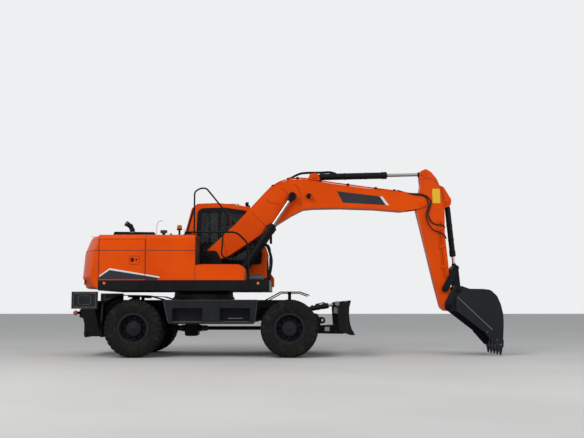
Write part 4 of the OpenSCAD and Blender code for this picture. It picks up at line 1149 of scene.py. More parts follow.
@dataclass
class Ram:
    """The fittings of one kind of hydraulic cylinder, from its barrel's eye to its rod's."""

    name: str
    barrel_body: str
    rod_body: str
    base: Point2
    eye: Point2
    y: float
    r: float
    rod_r: float
    length: float
    neck: float
    eye_r: float
    eye_half: float
    off: float = 1.0
    across: float = 0.0
    paired: bool = True
    place: Callable[[float, float, float], Point3] = field(default=lambda a, c, b: (a, c, b))

    def at(self, along: float, off: float = 0.0, across: float = 0.0) -> Point3:
        """A point some way along the cylinder, above it and beside it."""
        d = (Vector(self.eye) - Vector(self.base)).normalized()
        n = Vector((-d.y, d.x))
        p = Vector(self.base) + d * along + n * off
        return self.place(p.x, self.y + across, p.y)

    def side(self, along: float, out: float) -> Point3:
        """A point some way along and out on the side of the feed pipe."""
        return self.at(along, self.off * out, self.across * out)

    @property
    def axis(self) -> Point3:
        """The cylinder's direction."""
        return tuple(Vector(self.at(1)) - Vector(self.at(0)))

    @property
    def reach(self) -> float:
        """The length between the two eyes."""
        return (Vector(self.eye) - Vector(self.base)).length

    def build(self) -> None:
        """Builds gland, ports, pipe and clamps on the barrel, and the collar on the rod."""
        made = self.barrel_fittings()
        collar = self.rod_fittings()
        if self.paired:
            made, collar = Bench.mirrored(made), Bench.mirrored(collar)
        finish_piece(made, self.name + "_barrel_fittings", self.barrel_body, Finish.BLACK)
        finish_piece(collar, self.name + "_rod_collar", self.rod_body, Finish.BLACK)

    def barrel_fittings(self) -> Piece:
        """The gland with its bolts, the two ports, the feed pipe and its clamps."""
        r, end = self.r, self.length
        gland = [(0, self.rod_r + 2), (0, r + 2), (8, r + 2), (12, r - 3), (12, self.rod_r + 12),
                 (22, self.rod_r + 9), (22, self.rod_r + 2)]
        parts = [Bench.lathe(gland, self.at(end + 0.3), self.axis, 40)]
        bolt_at = self.rod_r + 12 + (r - self.rod_r - 14) / 2
        bolt = Bench.bolt(self.at(end + 10, bolt_at), self.axis, 13, 8, False)
        parts.append(Bench.ring(bolt, self.at(end), self.axis, 8))
        groove = [(0, r + 5), (0, r + 10), (10, r + 10), (10, r + 5)]
        for along in (end - 88, end - 12):
            parts.append(Bench.lathe(groove, self.at(along), self.axis, 40))
        hose_r = max(9.0, r * 0.17)
        lift = r + 8 + hose_r
        for along in (end - 50, self.neck + 60):
            port = [(0, 0), (0, hose_r * 1.9), (22, hose_r * 1.9), (26, hose_r * 1.6), (26, 0)]
            out = tuple(Vector(self.side(along, 1)) - Vector(self.side(along, 0)))
            parts.append(Bench.lathe(port, self.side(along, r - 8), out, 6))
        feed = [self.side(end - 50, r + 10), self.side(end - 50, lift + 7),
                self.side(end - 90, lift + 7), self.side(end - 150, lift),
                self.side(self.neck + 150, lift), self.side(self.neck + 110, r - 4)]
        parts.append(Bench.pipe(feed, hose_r, 30, 12))
        for share in (0.35, 0.75):
            along = self.neck + 110 + share * (end - self.neck - 260)
            parts.append(Bench.lathe([(0, r - 2), (0, r + 5), (26, r + 5), (26, r - 2)],
                                     self.at(along), self.axis, 40))
            saddle = [(0, 0), (0, hose_r + 7), (22, hose_r + 7), (22, 0)]
            parts.append(Bench.lathe(saddle, self.side(along + 2, lift - 2), self.axis, 8))
        return Bench.join(parts)

    def rod_fittings(self) -> Piece:
        """The collar before the rod's eye with its clamp bolt, and the band round the eye."""
        start = self.reach - self.eye_r - 42
        collar = [(0, self.rod_r + 0.5), (0, self.rod_r + 7), (6, self.rod_r + 12),
                  (58, self.rod_r + 12), (66, self.rod_r + 4), (66, self.rod_r + 0.5)]
        parts = [Bench.lathe(collar, self.at(start), self.axis, 32)]
        parts.append(Bench.bolt(self.at(start + 32, self.rod_r + 10),
                                tuple(Vector(self.at(0, 1)) - Vector(self.at(0))), 14, 10, False))
        across = tuple(Vector(self.at(0, 0, 1)) - Vector(self.at(0)))
        half, r = self.eye_half, self.eye_r
        parts.append(Bench.lathe([(-half, r - 3), (-half, r + 1), (2 - half, r + 1.5),
                                  (half - 2, r + 1.5), (half, r + 1), (half, r - 3)],
                                 self.at(self.reach), across, 40))
        return Bench.join(parts)


@dataclass
class Undercarriage:
    """What hangs on the chassis: steps, bearing bolts, steering parts, hoses and shaft joints."""

    body: str = "chassis"
    box_y: float = 1200.0
    step_x: tuple[Point2, ...] = ((-449.0, 88.0), (403.0, 938.0))
    step_z: Point2 = (642.0, 881.0)
    step_depth: float = 190.0
    ring_r: float = 590.0
    ring_top: float = 1081.0
    kingpin_y: float = 700.0

    def build(self) -> None:
        """Builds all fittings of the chassis."""
        self.steps()
        self.bearing_bolts()
        self.box_trim()
        self.steering()
        self.shaft_joints()
        self.axle_fittings()
        self.hoses()
        self.tail()

    def steps(self) -> None:
        """The treads and lips of the four foot recesses, and a rung on either side."""
        treads, lips = [], []
        for x0, x1 in self.step_x:
            inner = self.box_y - self.step_depth
            for y in range(5):
                a = inner + 24 + y * 32
                treads.append(Bench.block((x0 + 12, x1 - 12), (a, a + 10),
                                          (self.step_z[0], self.step_z[0] + 7), 2))
            for k in range(9):
                a = x0 + 30 + k * (x1 - x0 - 70) / 8
                treads.append(Bench.block((a, a + 9), (inner + 16, self.box_y - 16),
                                          (self.step_z[0], self.step_z[0] + 5), 1.5))
            table = oblong(x0 - 9, self.step_z[0] - 9, x1 + 9, self.step_z[1] + 9, 22)
            lips.append(trim_ring(table, 9, self.box_y, self.box_y + 4))
        finish_pair(treads, "step_treads", self.body, Finish.WORN)
        finish_pair(lips, "step_lips", self.body, Finish.CHARCOAL)
        bar = Bench.pipe([(560, 1150, 700), (560, 1172, 700), (800, 1172, 700), (800, 1150, 700)],
                         9, 10)
        feet = [Bench.block((x - 14, x + 14), (1112, 1156), (690, 712), 3) for x in (566, 794)]
        finish_pair([bar, *feet], "step_rung", self.body, Finish.WORN)

    def bearing_bolts(self) -> None:
        """The bolts round the swing bearing, on its lower ring."""
        bolt = Bench.bolt((self.ring_r - 12, 0, self.ring_top - 6), (0, 0, 1), 19, 13)
        finish_piece(Bench.ring(bolt, (0, 0, 0), (0, 0, 1), 36), "bearing_bolts", self.body,
                     Finish.IRON)

    def box_trim(self) -> None:
        """The pressed border, bolts, seam, sill and a lighter edge ring of the step boxes; the
        ring is a painted highlight along the box's lip.
        """
        outer = [(-505, 634, 26), (1012, 634, 26), (1066, 1012, 24), (-596, 1012, 24)]
        parts = [trim_ring(outer, 10, self.box_y, self.box_y + 3)]
        for x, z in ((-560, 985), (-380, 985), (160, 985), (330, 985), (1030, 985), (240, 660),
                     (-478, 660), (985, 660)):
            parts.append(Bench.bolt((x, self.box_y, z), (0, 1, 0), 17, 9))
        seam = Bench.block((242, 246), (self.box_y - 1, self.box_y + 1.5), (644, 1004), 0.5)
        # A lighter steel ring round the box's outer lip: a painted highlight on that edge.
        edge = trim_ring([(-517, 622, 34), (1022, 622, 34), (1080, 1022, 26), (-612, 1022, 26)], 6,
                         self.box_y - 2, self.box_y + 5)
        finish_pair(edge, "step_box_edge", self.body, Finish.WORN)
        finish_pair([*parts, seam], "step_box_trim", self.body, Finish.CHARCOAL)
        strip = Bench.plate(soft_outline(oblong(-512, 600, 1012, 614, 5)), 1130, 1196, bevel=2)
        finish_pair(strip, "step_box_sill", self.body, Finish.BLACK)

    def steering(self) -> None:
        """The steering cylinder on the front axle with its rods, and the kingpins' caps."""
        x, z = G.front_axle_x + 128, G.axle_z + 20
        barrel = Bench.lathe([(0, 0), (0, 34), (14, 40), (40, 40), (46, 34), (474, 34), (480, 40),
                              (506, 40), (520, 34), (520, 0)], (x, -260, z), (0, 1, 0), 32)
        mounts = [Bench.plate(soft_outline([(x - 48, z - 34, 8), (x + 30, z - 50, 20),
                                            (x + 30, z + 50, 20), (x - 48, z + 34, 8)]), y, y + 24)
                  for y in (-214, 190)]
        finish_piece([barrel, *mounts], "steering_barrel", self.body, Finish.BLACK)
        rods = Bench.rod((x, -470, z), (x, 470, z), 17, 24, 3)
        ends = [Bench.lathe([(0, 0), (0, 27), (30, 27), (40, 20), (40, 0)], (x, s * 430, z),
                            (0, s, 0), 20) for s in SIGNS]
        finish_piece([rods, *ends], "steering_rod", self.body, Finish.CHROME)
        for side in BOTH:
            s = side.value
            cap = Bench.lathe([(0, 0), (0, 46), (10, 46), (16, 38), (16, 0)],
                              (G.front_axle_x, s * self.kingpin_y, G.axle_z + 189), (0, 0, 1), 28)
            low = Bench.lathe([(0, 0), (0, 46), (10, 46), (16, 38), (16, 0)],
                              (G.front_axle_x, s * self.kingpin_y, G.axle_z - 189), (0, 0, -1), 28)
            bolts = [Bench.bolt((G.front_axle_x + 26 * math.cos(a),
                                 s * self.kingpin_y + 26 * math.sin(a), G.axle_z + 205), (0, 0, 1),
                                13, 8, False) for a in (0.5, 2.6, 4.7)]
            finish_piece([cap, low, *bolts], f"kingpin_caps_{side.word}", self.body, Finish.BLACK)

    def shaft_joints(self) -> None:
        """The universal joints of the propeller shafts and the flanges of the gearbox."""
        parts = []
        for x, s in ((-902.0, -1), (-438.0, 1), (52.0, -1), (1400.0, 1)):
            yoke = Bench.plate(soft_outline([(-14, -46, 8), (14, -46, 8), (20, 0, 12), (14, 46, 8),
                                             (-14, 46, 8), (-20, 0, 12)]), -24, 24)
            yoke.data.transform(Matrix.Translation(Vector((x / MM, 0, 0.5))))
            cross = Bench.rod((x, -58, 500), (x, 58, 500), 17, 16, 2)
            parts += [yoke, cross]
            flange = Bench.lathe([(0, 40), (0, 66), (10, 66), (10, 40)], (x + s * 40, 0, 500),
                                 (s, 0, 0), 28)
            bolt = Bench.bolt((x + s * 50, 56, 500), (s, 0, 0), 12, 8, False)
            parts += [flange, Bench.ring(bolt, (x, 0, 500), (1, 0, 0), 8)]
        finish_piece(parts, "shaft_joints", self.body, Finish.IRON)
        fins = [Bench.block((-330 + k * 26, -322 + k * 26), (-166, 166), (380, 540), 2)
                for k in range(9)]
        plug = [Bench.bolt((-215, s * 160, 420), (0, s, 0), 30, 12) for s in SIGNS]
        pan = [Bench.bolt((-330 + 30 * k, s * 160, 366), (0, s, 0), 12, 7, False) for k in range(8)
               for s in SIGNS]
        finish_piece([*fins, *plug, *pan], "gearbox_fins", self.body, Finish.BLACK)

    def axle_fittings(self) -> None:
        """The bolts of the axle housings and the brake lines."""
        parts = []
        for x, r, half in ((G.front_axle_x, 165, 150), (G.rear_axle_x, 185, 170)):
            for s in SIGNS:
                bolt = Bench.bolt((x + s * half, r - 24, G.axle_z), (s, 0, 0), 17, 10)
                parts.append(Bench.ring(bolt, (x, 0, G.axle_z), (1, 0, 0), 12))
            for s in SIGNS:
                parts.append(Bench.pipe([(x - 40, s * 120, G.axle_z + 110),
                                         (x - 60, s * 240, G.axle_z + 124),
                                         (x - 60, s * 520, G.axle_z + 88)], 7, 30, 8))
        finish_piece(parts, "axle_bolts_and_lines", self.body, Finish.IRON)

    def hoses(self) -> None:
        """Hoses that run along the chassis beam to the blade and the outriggers."""
        parts = []
        for s in SIGNS:
            for k, r in enumerate((11, 11, 9)):
                y = s * (310 + 26 * k)
                parts.append(Bench.pipe([(1010, s * 316, 880 - 30 * k), (1180, y, 880 - 34 * k),
                                         (1500, y, 868 - 30 * k), (1760, s * 318, 842 - 24 * k),
                                         (1800, s * 290, 838 - 24 * k)], r, 90, 10))
                parts.append(Bench.pipe([(-700, s * 296, 900 - 36 * k), (-830, y, 890 - 34 * k),
                                         (-1400, y, 900 - 34 * k), (-1640, s * 318, 880 - 30 * k),
                                         (-1700, s * 290, 870 - 30 * k)], r, 90, 10))
        for x in (1260, 1480, -960, -1280, -1520):
            for s in SIGNS:
                parts.append(Bench.block((x - 16, x + 16),
                                         (min(s * 298, s * 378), max(s * 298, s * 378)),
                                         (790, 905), 4))
        finish_piece(parts, "chassis_hoses", self.body, Finish.HOSE)

    def tail(self) -> None:
        """The bezels, lenses and arms of the tail lamps, and the round lamps at their ends."""
        parts, lenses = [], []
        for s in SIGNS:
            table = oblong(s * 575 - 118, 718, s * 575 + 118, 857, 14)
            parts.append(trim_ring(table, 14, -2228, -2203, Plane.YZ))
            for k in (-1, 1):
                edge = Bench.block((-2233, -2224), (s * 575 + k * 52 - 46, s * 575 + k * 52 + 46),
                                   (742, 833), 5)
                lenses.append(edge)
            bar = (min(s * 690, s * 985), max(s * 690, s * 985))
            parts.append(Bench.block((-2227, -2205), bar, (776, 822), 5))
            parts.append(Bench.lathe([(0, 0), (0, 40), (30, 44), (36, 40), (36, 0)],
                                     (-2230, s * 958, 799), (0, s, 0), 28))
            lenses.append(Bench.lathe([(0, 0), (0, 38), (8, 37), (13, 24), (14, 0)],
                                      (-2230, s * 993, 799), (0, s, 0), 28))
        finish_piece(parts, "tail_lamp_bezels", self.body, Finish.BLACK)
        finish_piece(lenses, "tail_lamp_lenses", self.body, Finish.RED)


@dataclass
class BladeFittings:
    """Cutting edge, bolts, pin caps and rams of the front blade."""

    body: str = "blade"
    hinge: Point2 = (2164.0, 470.0)
    eye: Point2 = (2560.0, 962.0)
    base: Point2 = (1960.0, 850.0)
    half: float = 1250.0

    def build(self) -> None:
        """Builds the blade's fittings."""
        edge = Bench.plate([(2798, 404), (2819, 404), (2788, 484), (2767, 500)], -self.half + 6,
                           self.half - 6, bevel=1.5)
        finish_piece(edge, "blade_cutting_edge", self.body, Finish.WORN)
        bolts = [Bench.bolt((2753, -1110 + 185 * k, 470), (-0.9, 0, -0.3), 22, 12)
                 for k in range(13)]
        for s in SIGNS:
            for z in (802, 640):
                bolts.append(Bench.bolt((2620, s * (self.half - 3), z), (0, s, 0), 24, 7, False))
            bolts.append(pin_cap((self.hinge[0], s * 402, self.hinge[1]), s, 46))
        finish_piece(bolts, "blade_bolts", self.body, Finish.CHARCOAL)
        plates = [Bench.block((2310, 2400), (min(s * 400.3, s * 403), max(s * 400.3, s * 403)),
                              (452, 530), 1) for s in SIGNS]
        finish_piece(plates, "blade_arm_plates", self.body, Finish.PALE)
        ribs = []
        for s in SIGNS:
            ribs.append(Bench.pipe([(2716, s * 1236, 1000), (2700, s * 1236, 720),
                                    (2755, s * 1236, 440)], 6, 60, 8))
            for y in (261, 771):
                ribs.append(Bench.pipe([(2706, s * y, 990), (2694, s * y, 730),
                                        (2704, s * y, 470)], 8, 60, 8))
        finish_piece(ribs, "blade_welds", self.body, Finish.BLACK)
        Ram("blade", "blade_barrels", "blade_rods", self.base, self.eye, y=150, r=46, rod_r=28,
            length=420, neck=75, eye_r=46, eye_half=49.7).build()


@dataclass
class Outriggers:
    """Pad ribs, pin caps and rams of the two rear outriggers."""

    x: Point2 = (-2129.0, -1881.0)
    pad_x: Point2 = (-2248.0, -1780.0)
    pad_z: Point2 = (872.0, 1178.0)
    pad_y: float = 1245.0
    hinge: Point2 = (430.0, 420.0)
    angle: float = 42.0
    length: float = 880.0
    cyl_x: float = -2005.0

    def leg(self, u: float, v: float) -> Point2:
        """A point of the raised leg's own frame, in Y and Z."""
        d = G.turned((u, v), self.angle)
        return (self.hinge[0] + d[0], self.hinge[1] + d[1])

    def build(self) -> None:
        """Builds both outriggers' fittings."""
        for side in BOTH:
            self.pad(side)
            self.pins(side)
            self.ram(side)

    def ram(self, side: Side) -> None:
        """The fittings of one outrigger's cylinder, which lies across the machine."""
        def place(out: float, along: float, up: float) -> Point3:
            """A point of the cylinder's own plane."""
            return (self.cyl_x + along, side.value * out, up)
        Ram(f"leg_{side.word}", f"leg_barrel_{side.word}", f"leg_rod_{side.word}", (150, 930),
            self.leg(300, 70), y=0, r=45, rod_r=26, length=430, neck=60, eye_r=42, eye_half=45,
            off=0.0, across=1.0, paired=False, place=place).build()

    def pad(self, side: Side) -> None:
        """The pressed frame and cleats of a foot plate."""
        s, (x0, x1), (z0, z1) = side.value, self.pad_x, self.pad_z
        outline = oblong(x0 + 26, z0 + 26, x1 - 26, z1 - 26, 24)
        inner = oblong(x0 + 118, z0 + 70, x1 - 118, z1 - 70, 40)
        lo, hi = sorted((s * self.pad_y, s * (self.pad_y + 5)))
        parts = [trim_ring(outline, 14, lo, hi), trim_ring(inner, 10, lo, hi)]
        for z in (z0 + 12, z1 - 12):
            parts.append(Bench.block((x0 + 20, x1 - 20), (lo, hi), (z - 6, z + 6), 2))
        finish_piece(parts, f"foot_pattern_{side.word}", f"outrigger_{side.word}", Finish.GREY_PAD)

    def pins(self, side: Side) -> None:
        """The caps of the hinge and of the foot's pivot, and the welds of the box beam."""
        s, body = side.value, f"outrigger_{side.word}"
        parts = []
        end = self.leg(self.length - 30, 0)
        for x, d in ((self.x[0] - 50, -1), (self.x[1] + 50, 1)):
            parts.append(Bench.lathe([(0, 0), (0, 44), (8, 44), (13, 38), (13, 0)],
                                     (x, s * self.hinge[0], self.hinge[1]), (d, 0, 0), 28))
        for x, d in ((self.x[0] - 22, -1), (self.x[1] + 22, 1)):
            parts.append(Bench.lathe([(0, 0), (0, 40), (14, 40), (18, 34), (18, 0)],
                                     (x, s * end[0], end[1]), (d, 0, 0), 28))
            parts.append(Bench.bolt((x + d * 17, s * end[0], end[1]), (d, 0, 0), 22, 10, False))
        for x in (self.x[0] - 2, self.x[1] + 2):
            weld = [self.leg(u, v) for u, v in ((120, 66), (300, 80), (500, 80), (760, 56))]
            parts.append(Bench.pipe([(x, s * a, b) for a, b in weld], 5, 60, 8))
        finish_piece(parts, f"outrigger_pins_{side.word}", body, Finish.CHARCOAL)


@dataclass
class Housing:
    """Stripes, seams, latches and fittings of the rear body, its doors and its hood cover."""

    half: float = 1240.0
    top: float = 2205.0
    deck_top: float = 1384.6
    door_x: Point2 = (-1765.0, -948.0)
    door_top: float = 2120.0
    lid_x: Point2 = (-1676.0, -560.0)
    lid_y: Point2 = (-560.0, 760.0)
    wedge: tuple[Point2, ...] = ((-1762.0, 1462.0), (-1578.0, 1597.0), (-684.0, 1447.0))
    edge: float = 26.0
    crease: Point2 = (1909.0, 1921.0)
    tank_x: float = -46.0

    def build(self) -> None:
        """Builds all fittings of the housing."""
        for side in BOTH:
            self.stripes(side)
            self.handle(side)
            self.door_folds(side)
        self.seams()
        self.lid()
        self.guard()
        self.top_fittings()
        self.tail()

    def wedge_top(self, x: float) -> float:
        """The height of the wedge's upper edge at a place along X."""
        (x0, z0), (x1, z1), (x2, z2) = self.wedge
        if x < x1:
            return z0 + (x - x0) * (z1 - z0) / (x1 - x0)
        return z1 + (x - x1) * (z2 - z1) / (x2 - x1)

    def stripes(self, side: Side) -> None:
        """The navy wedge and its white upper edge, split at the door's seams."""
        s = side.value
        lo, hi = sorted((s * self.half, s * (self.half + 1.6)))
        door, split = f"side_door_{side.word}", self.door_x[1]
        x0, x1, x2 = (p[0] for p in self.wedge)
        e = self.edge
        top = self.wedge_top
        near, far = split - 1, split + 7
        parts = {
            (door, Finish.NAVY): [
                [(x0, 1402), (near, 1402), (near, top(near) - e), (x1, top(x1) - e - 6),
                 (x0, top(x0) - e)]],
            (door, Finish.WHITE): [
                [(x0, top(x0) - e), (x1, top(x1) - e - 6), (x1, top(x1)), (x0, top(x0))],
                [(x1, top(x1) - e - 6), (near, top(near) - e), (near, top(near)), (x1, top(x1))]],
            ("upper", Finish.NAVY): [
                [(far, 1387), (x2 - 40, 1387), (x2 - 6, top(x2) - e), (far, top(far) - e)]],
            ("upper", Finish.WHITE): [
                [(far, top(far) - e), (x2 - 6, top(x2) - e), (x2 + 14, top(x2) - 4),
                 (x2, top(x2)), (far, top(far))]],
        }
        for (body, look), outlines in parts.items():
            made = Bench.join([Bench.plate(o, lo, hi, bevel=0) for o in outlines])
            finish_piece(made, f"wedge_{look.name.lower()}_{body}_{side.word}", body, look)

    def seams(self) -> None:
        """The dark joints between the panels, and a dark band along the crease round the rear body
        that is painted shade in the crease's groove.
        """
        w, top, soft = self.half, self.top, 70.0

        def corner(r: float, steps: Iterable[int]) -> list[Point2]:
            """The rounded upper corner at a radius, in eighths of its quarter turn."""
            return [(w - soft + r * math.cos(a), top - soft + r * math.sin(a))
                    for a in (math.pi / 2 * k / 8 for k in steps)]
        shell = [(w + 0.9, self.deck_top + 4), *corner(soft + 0.9, range(9)),
                 (w - 420, top + 0.9), (w - 420, top - 2), *corner(soft - 2, range(8, -1, -1)),
                 (w - 2, self.deck_top + 4)]
        strips = [Bench.plate(shell, x0, x1, Plane.YZ, 0)
                  for x0, x1 in ((-1778.8, -1770.5), (-942.5, -930.0))]
        # A dark strip along the crease from the door's seam to the tank: painted shade in the
        # crease.
        strips.append(Bench.block((-929, self.tank_x - 0.5), (w - 2, w + 0.7), self.crease, 0))
        edge = [(-w + 0.5, 1668), (-440, 1668), (-440, top - 12), (-w + soft, top - 12),
                (-w + 12, top - soft), (-w + 0.5, top - soft - 20)]
        tank = Bench.plate(edge, self.tank_x, self.tank_x + 1.2, Plane.YZ, 0)
        box = Bench.block((self.tank_x - 4, self.tank_x + 7), (-w - 0.7, -w + 2),
                          (self.deck_top + 4, 1650), 0)
        # The door and tank seams are dark joints; the crease strip in the same piece is painted
        # shade.
        finish_piece([*[Bench.mirrored(s) for s in strips], tank, box], "housing_seams", "upper",
                     Finish.SHADOW)
        for side in BOTH:
            lo, hi = sorted((side.value * (w - 1), side.value * (w + 0.7)))
            # A dark line along the door's crease: painted shade in the crease.
            line = Bench.block((self.door_x[0] + 1, self.door_x[1] - 1), (lo, hi), self.crease, 0)
            finish_piece(line, f"door_crease_{side.word}", f"side_door_{side.word}", Finish.SHADOW)
        # A dark band round the counterweight along the crease: painted shade in the crease.
        profile = soft_outline([(1500, 1242, 0), (2210, 1242, 60), (2280, 1450, 60),
                                (2240, 1900, 200), (2120, 2205, 110), (1500, 2205, 0)], 12)
        z = sum(self.crease) / 2
        below, above = next((a, b) for a, b in zip(profile, profile[1:])
                            if a[1] <= z <= b[1] and b[0] > 1600)
        r = below[0] + (above[0] - below[0]) * (z - below[1]) / (above[1] - below[1])
        arc = []
        for off in (1.2, -4.0):
            y = w - 12 + off * 0.7
            end = math.asin(y / (r + off))
            angles = [end * (1 - k / 30) for k in range(61)]
            bow = [(-(r + off) * math.cos(a), (r + off) * math.sin(a)) for a in angles]
            arc.append([(-1784, y), *bow, (-1784, -y)])
        band = Bench.plate([*arc[0], *reversed(arc[1])], *self.crease, Plane.XY, 0)
        finish_piece(band, "counterweight_crease", "upper", Finish.SHADOW)

    def guard(self) -> None:
        """The low ribbed guard along the right edge of the hood cover."""
        y, z = -545.0, self.top + 42.3
        panel = Bench.plate(soft_outline([(-1666, z, 0), (-860, z, 0), (-880, z + 46, 18),
                                          (-1640, z + 54, 18)]), y - 4, y + 4)
        ribs = [Bench.block((-1636 + 54 * k, -1616 + 54 * k), (y - 12, y + 10), (z, z + 42), 3)
                for k in range(14)]
        rail = Bench.pipe([(-1654, y, z + 2), (-1636, y, z + 56), (-890, y, z + 48),
                           (-872, y, z + 2)], 8, 16, 10)
        finish_piece([panel, *ribs, rail], "hood_guard", "hood_lid", Finish.BLACK)

    def handle(self, side: Side) -> None:
        """The recessed paddle latch of a side door, with a thin black ring round its frame that is
        painted shade along the recess's edge.
        """
        s = side.value
        out, lift = s * self.half, s * 3
        table = oblong(-1224, 1667, -1051, 1815, 20)
        lo, hi = sorted((out, out + lift))
        ring = trim_ring(table, 8, lo, hi)
        finish_piece(ring, f"door_latch_frame_{side.word}", f"side_door_{side.word}",
                     Finish.ORANGE)
        lo, hi = sorted((out, out + s * 7))
        paddle = Bench.plate(soft_outline(oblong(-1200, 1714, -1146, 1784, 10)), lo, hi)
        lock = Bench.lathe([(0, 0), (0, 17), (5, 17), (7, 13), (7, 5), (5, 4), (5, 0)],
                           (-1100, out, 1752), (0, s, 0), 24)
        # The thin black ring just outside the frame: painted shade along the recess's edge.
        lo, hi = sorted((out, out + s * 1.2))
        rim = trim_ring(shifted(table, 5, (-1137, 1741)), 5, lo, hi)
        finish_piece([paddle, lock, rim], f"door_latch_{side.word}", f"side_door_{side.word}",
                     Finish.BLACK)

    def door_folds(self, side: Side) -> None:
        """The folded edges on a side door."""
        s = side.value
        out = s * self.half
        lo, hi = sorted((out, out + s * 3))
        x0, x1 = self.door_x
        z = self.door_top
        strips = [Bench.block((x1 - 20, x1 - 4), (lo, hi), (1640, z - 10), 1.4),
                  Bench.block((x0 + 4, x1 - 24), (lo, hi), (z - 12, z - 3), 1.4)]
        finish_piece(strips, f"door_folds_{side.word}", f"side_door_{side.word}", Finish.ORANGE)

    def lid(self) -> None:
        """Pressed ribs, border, grips and vents of the hood cover."""
        (x0, x1), (y0, y1) = self.lid_x, self.lid_y
        z = self.top + 42.3
        parts = []
        for k in range(7):
            y = y0 + 150 + k * (y1 - y0 - 300) / 6
            parts.append(Bench.plate(soft_outline(oblong(x0 + 120, y - 16, x0 + 620, y + 16, 14)),
                                     z, z + 5, Plane.XY, 1.5))
        table = oblong(x0 + 60, y0 + 60, x1 - 60, y1 - 60, 40)
        parts.append(trim_ring(table, 16, z, z + 4, Plane.XY))
        for y in (y0 + 200, y1 - 200):
            parts.append(Bench.pipe([(x1 - 40, y - 80, z - 4), (x1 - 40, y - 80, z + 40),
                                     (x1 - 40, y + 80, z + 40), (x1 - 40, y + 80, z - 4)], 9, 26))
        finish_piece(parts, "hood_cover_fittings", "hood_lid", Finish.BLACK)
        spots = [(x0 + 700 + col * 62, y0 + 190 + row * 115, z) for row in range(9)
                 for col in range(5)]
        holes = Bench.spread(Bench.lathe([(0, 12), (0, 22), (3, 20), (3, 12)], spots[0], (0, 0, 1),
                                         12), spots)
        finish_piece(holes, "hood_cover_vents", "hood_lid", Finish.IRON)

    def top_fittings(self) -> None:
        """The fuel cap, mats, the tool box's latches, the rings on the stacks and the aerial."""
        cap = Bench.lathe([(0, 0), (0, 62), (10, 62), (14, 56), (14, 40), (36, 40), (42, 34),
                           (42, 0)], (-180, -930, self.top), (0, 0, 1), 32)
        bar = Bench.block((-212, -148), (-937, -923), (self.top + 42, self.top + 54), 3)
        finish_piece([cap, bar], "fuel_cap", "upper", Finish.BLACK)
        mats = []
        for x0, x1, y0, y1 in ((-420, -290, -1150, -480), (-110, -60, -1080, -480)):
            mats.append(Bench.plate(soft_outline(oblong(x0, y0, x1, y1, 14)), self.top,
                                    self.top + 3, Plane.XY, 1))
            spots = [(x0 + 22 + 30 * i, y0 + 22 + 30 * j, self.top + 3)
                     for i in range(int((x1 - x0 - 20) // 30))
                     for j in range(int((y1 - y0 - 20) // 30))]
            mats.append(Bench.spread(Bench.lathe([(0, 0), (0, 8), (3, 6), (3, 0)], spots[0],
                                                 (0, 0, 1), 6), spots))
        finish_piece(mats, "walkway_mats", "upper", Finish.GRAIN)
        lid = [Bench.plate(soft_outline(oblong(20, -1060, 700, -600, 14)), 1674, 1677, Plane.XY,
                           1)]
        spots = [(50 + 42 * i, -1035 + 40 * j, 1677) for i in range(16) for j in range(11)]
        lid.append(Bench.spread(Bench.lathe([(0, 0), (0, 9), (3, 7), (3, 0)], spots[0], (0, 0, 1),
                                            6), spots))
        finish_piece(lid, "tool_box_mat", "tool_box_lid", Finish.GRAIN)
        latch = [Bench.plate(soft_outline(oblong(x - 26, 1600, x + 26, 1655, 6)), -1243.5, -1240)
                 for x in (180, 560)]
        keys = [Bench.lathe([(0, 0), (0, 12), (4, 12), (5, 9), (5, 0)], (x, -1243, 1620),
                            (0, -1, 0), 16) for x in (180, 560)]
        finish_piece([*latch, *keys], "tool_box_latches", "upper", Finish.ORANGE)
        rim = Bench.lathe([(-6, 40), (-6, 49), (26, 51), (30, 48), (30, 40)], (-1376, -700, 2442),
                          (-0.84, 0, 0.54), 32)
        clamp = Bench.lathe([(0, 44), (0, 53), (30, 53), (30, 44)], (-1276, -700, 2270), (0, 0, 1),
                            32)
        fins = [Bench.lathe([(0, 58), (0, 66), (6, 66), (6, 58)],
                            (-676, -800, self.top + 66 + 14 * k), (0, 0, 1), 28) for k in range(3)]
        finish_piece([rim, clamp, *fins], "stack_and_intake_rings", "upper", Finish.IRON)
        mast = Bench.pipe([(-800, -860, self.top), (-800, -860, self.top + 200),
                           (-764, -860, self.top + 282), (-690, -860, self.top + 284)], 9, 60, 8)
        foot = Bench.lathe([(0, 0), (0, 18), (22, 13), (22, 0)], (-800, -860, self.top), (0, 0, 1),
                           16)
        finish_piece([mast, foot], "aerial", "upper", Finish.WHITE)

    def tail(self) -> None:
        """The rims of the lifting pockets and the rear reflectors."""
        parts = []
        for s in SIGNS:
            table = oblong(s * 600 - 100, -2060, s * 600 + 100, -1860, 96)
            ring = [(b, a, r) for a, b, r in table]
            parts.append(trim_ring(ring, 9, self.top, self.top + 4, Plane.XY))
        finish_piece(parts, "lifting_pocket_rims", "upper", Finish.ORANGE)
        lamps, rims = [], []
        for s in SIGNS:
            x = -2215.0
            y = s * 860
            axis = Vector((-1, s * 0.38, 0)).normalized()
            seat = (x + 121, y, 1360)
            rims.append(Bench.lathe([(0, 0), (0, 52), (12, 52), (16, 46), (16, 0)], seat,
                                    tuple(axis), 32))
            lamps.append(Bench.lathe([(0, 0), (0, 44), (4, 42), (8, 26), (9, 0)],
                                     tuple(Vector(seat) + axis * 15), tuple(axis), 32))
        finish_piece(rims, "rear_reflector_rims", "upper", Finish.BLACK)
        finish_piece(lamps, "rear_reflectors", "upper", Finish.RED)


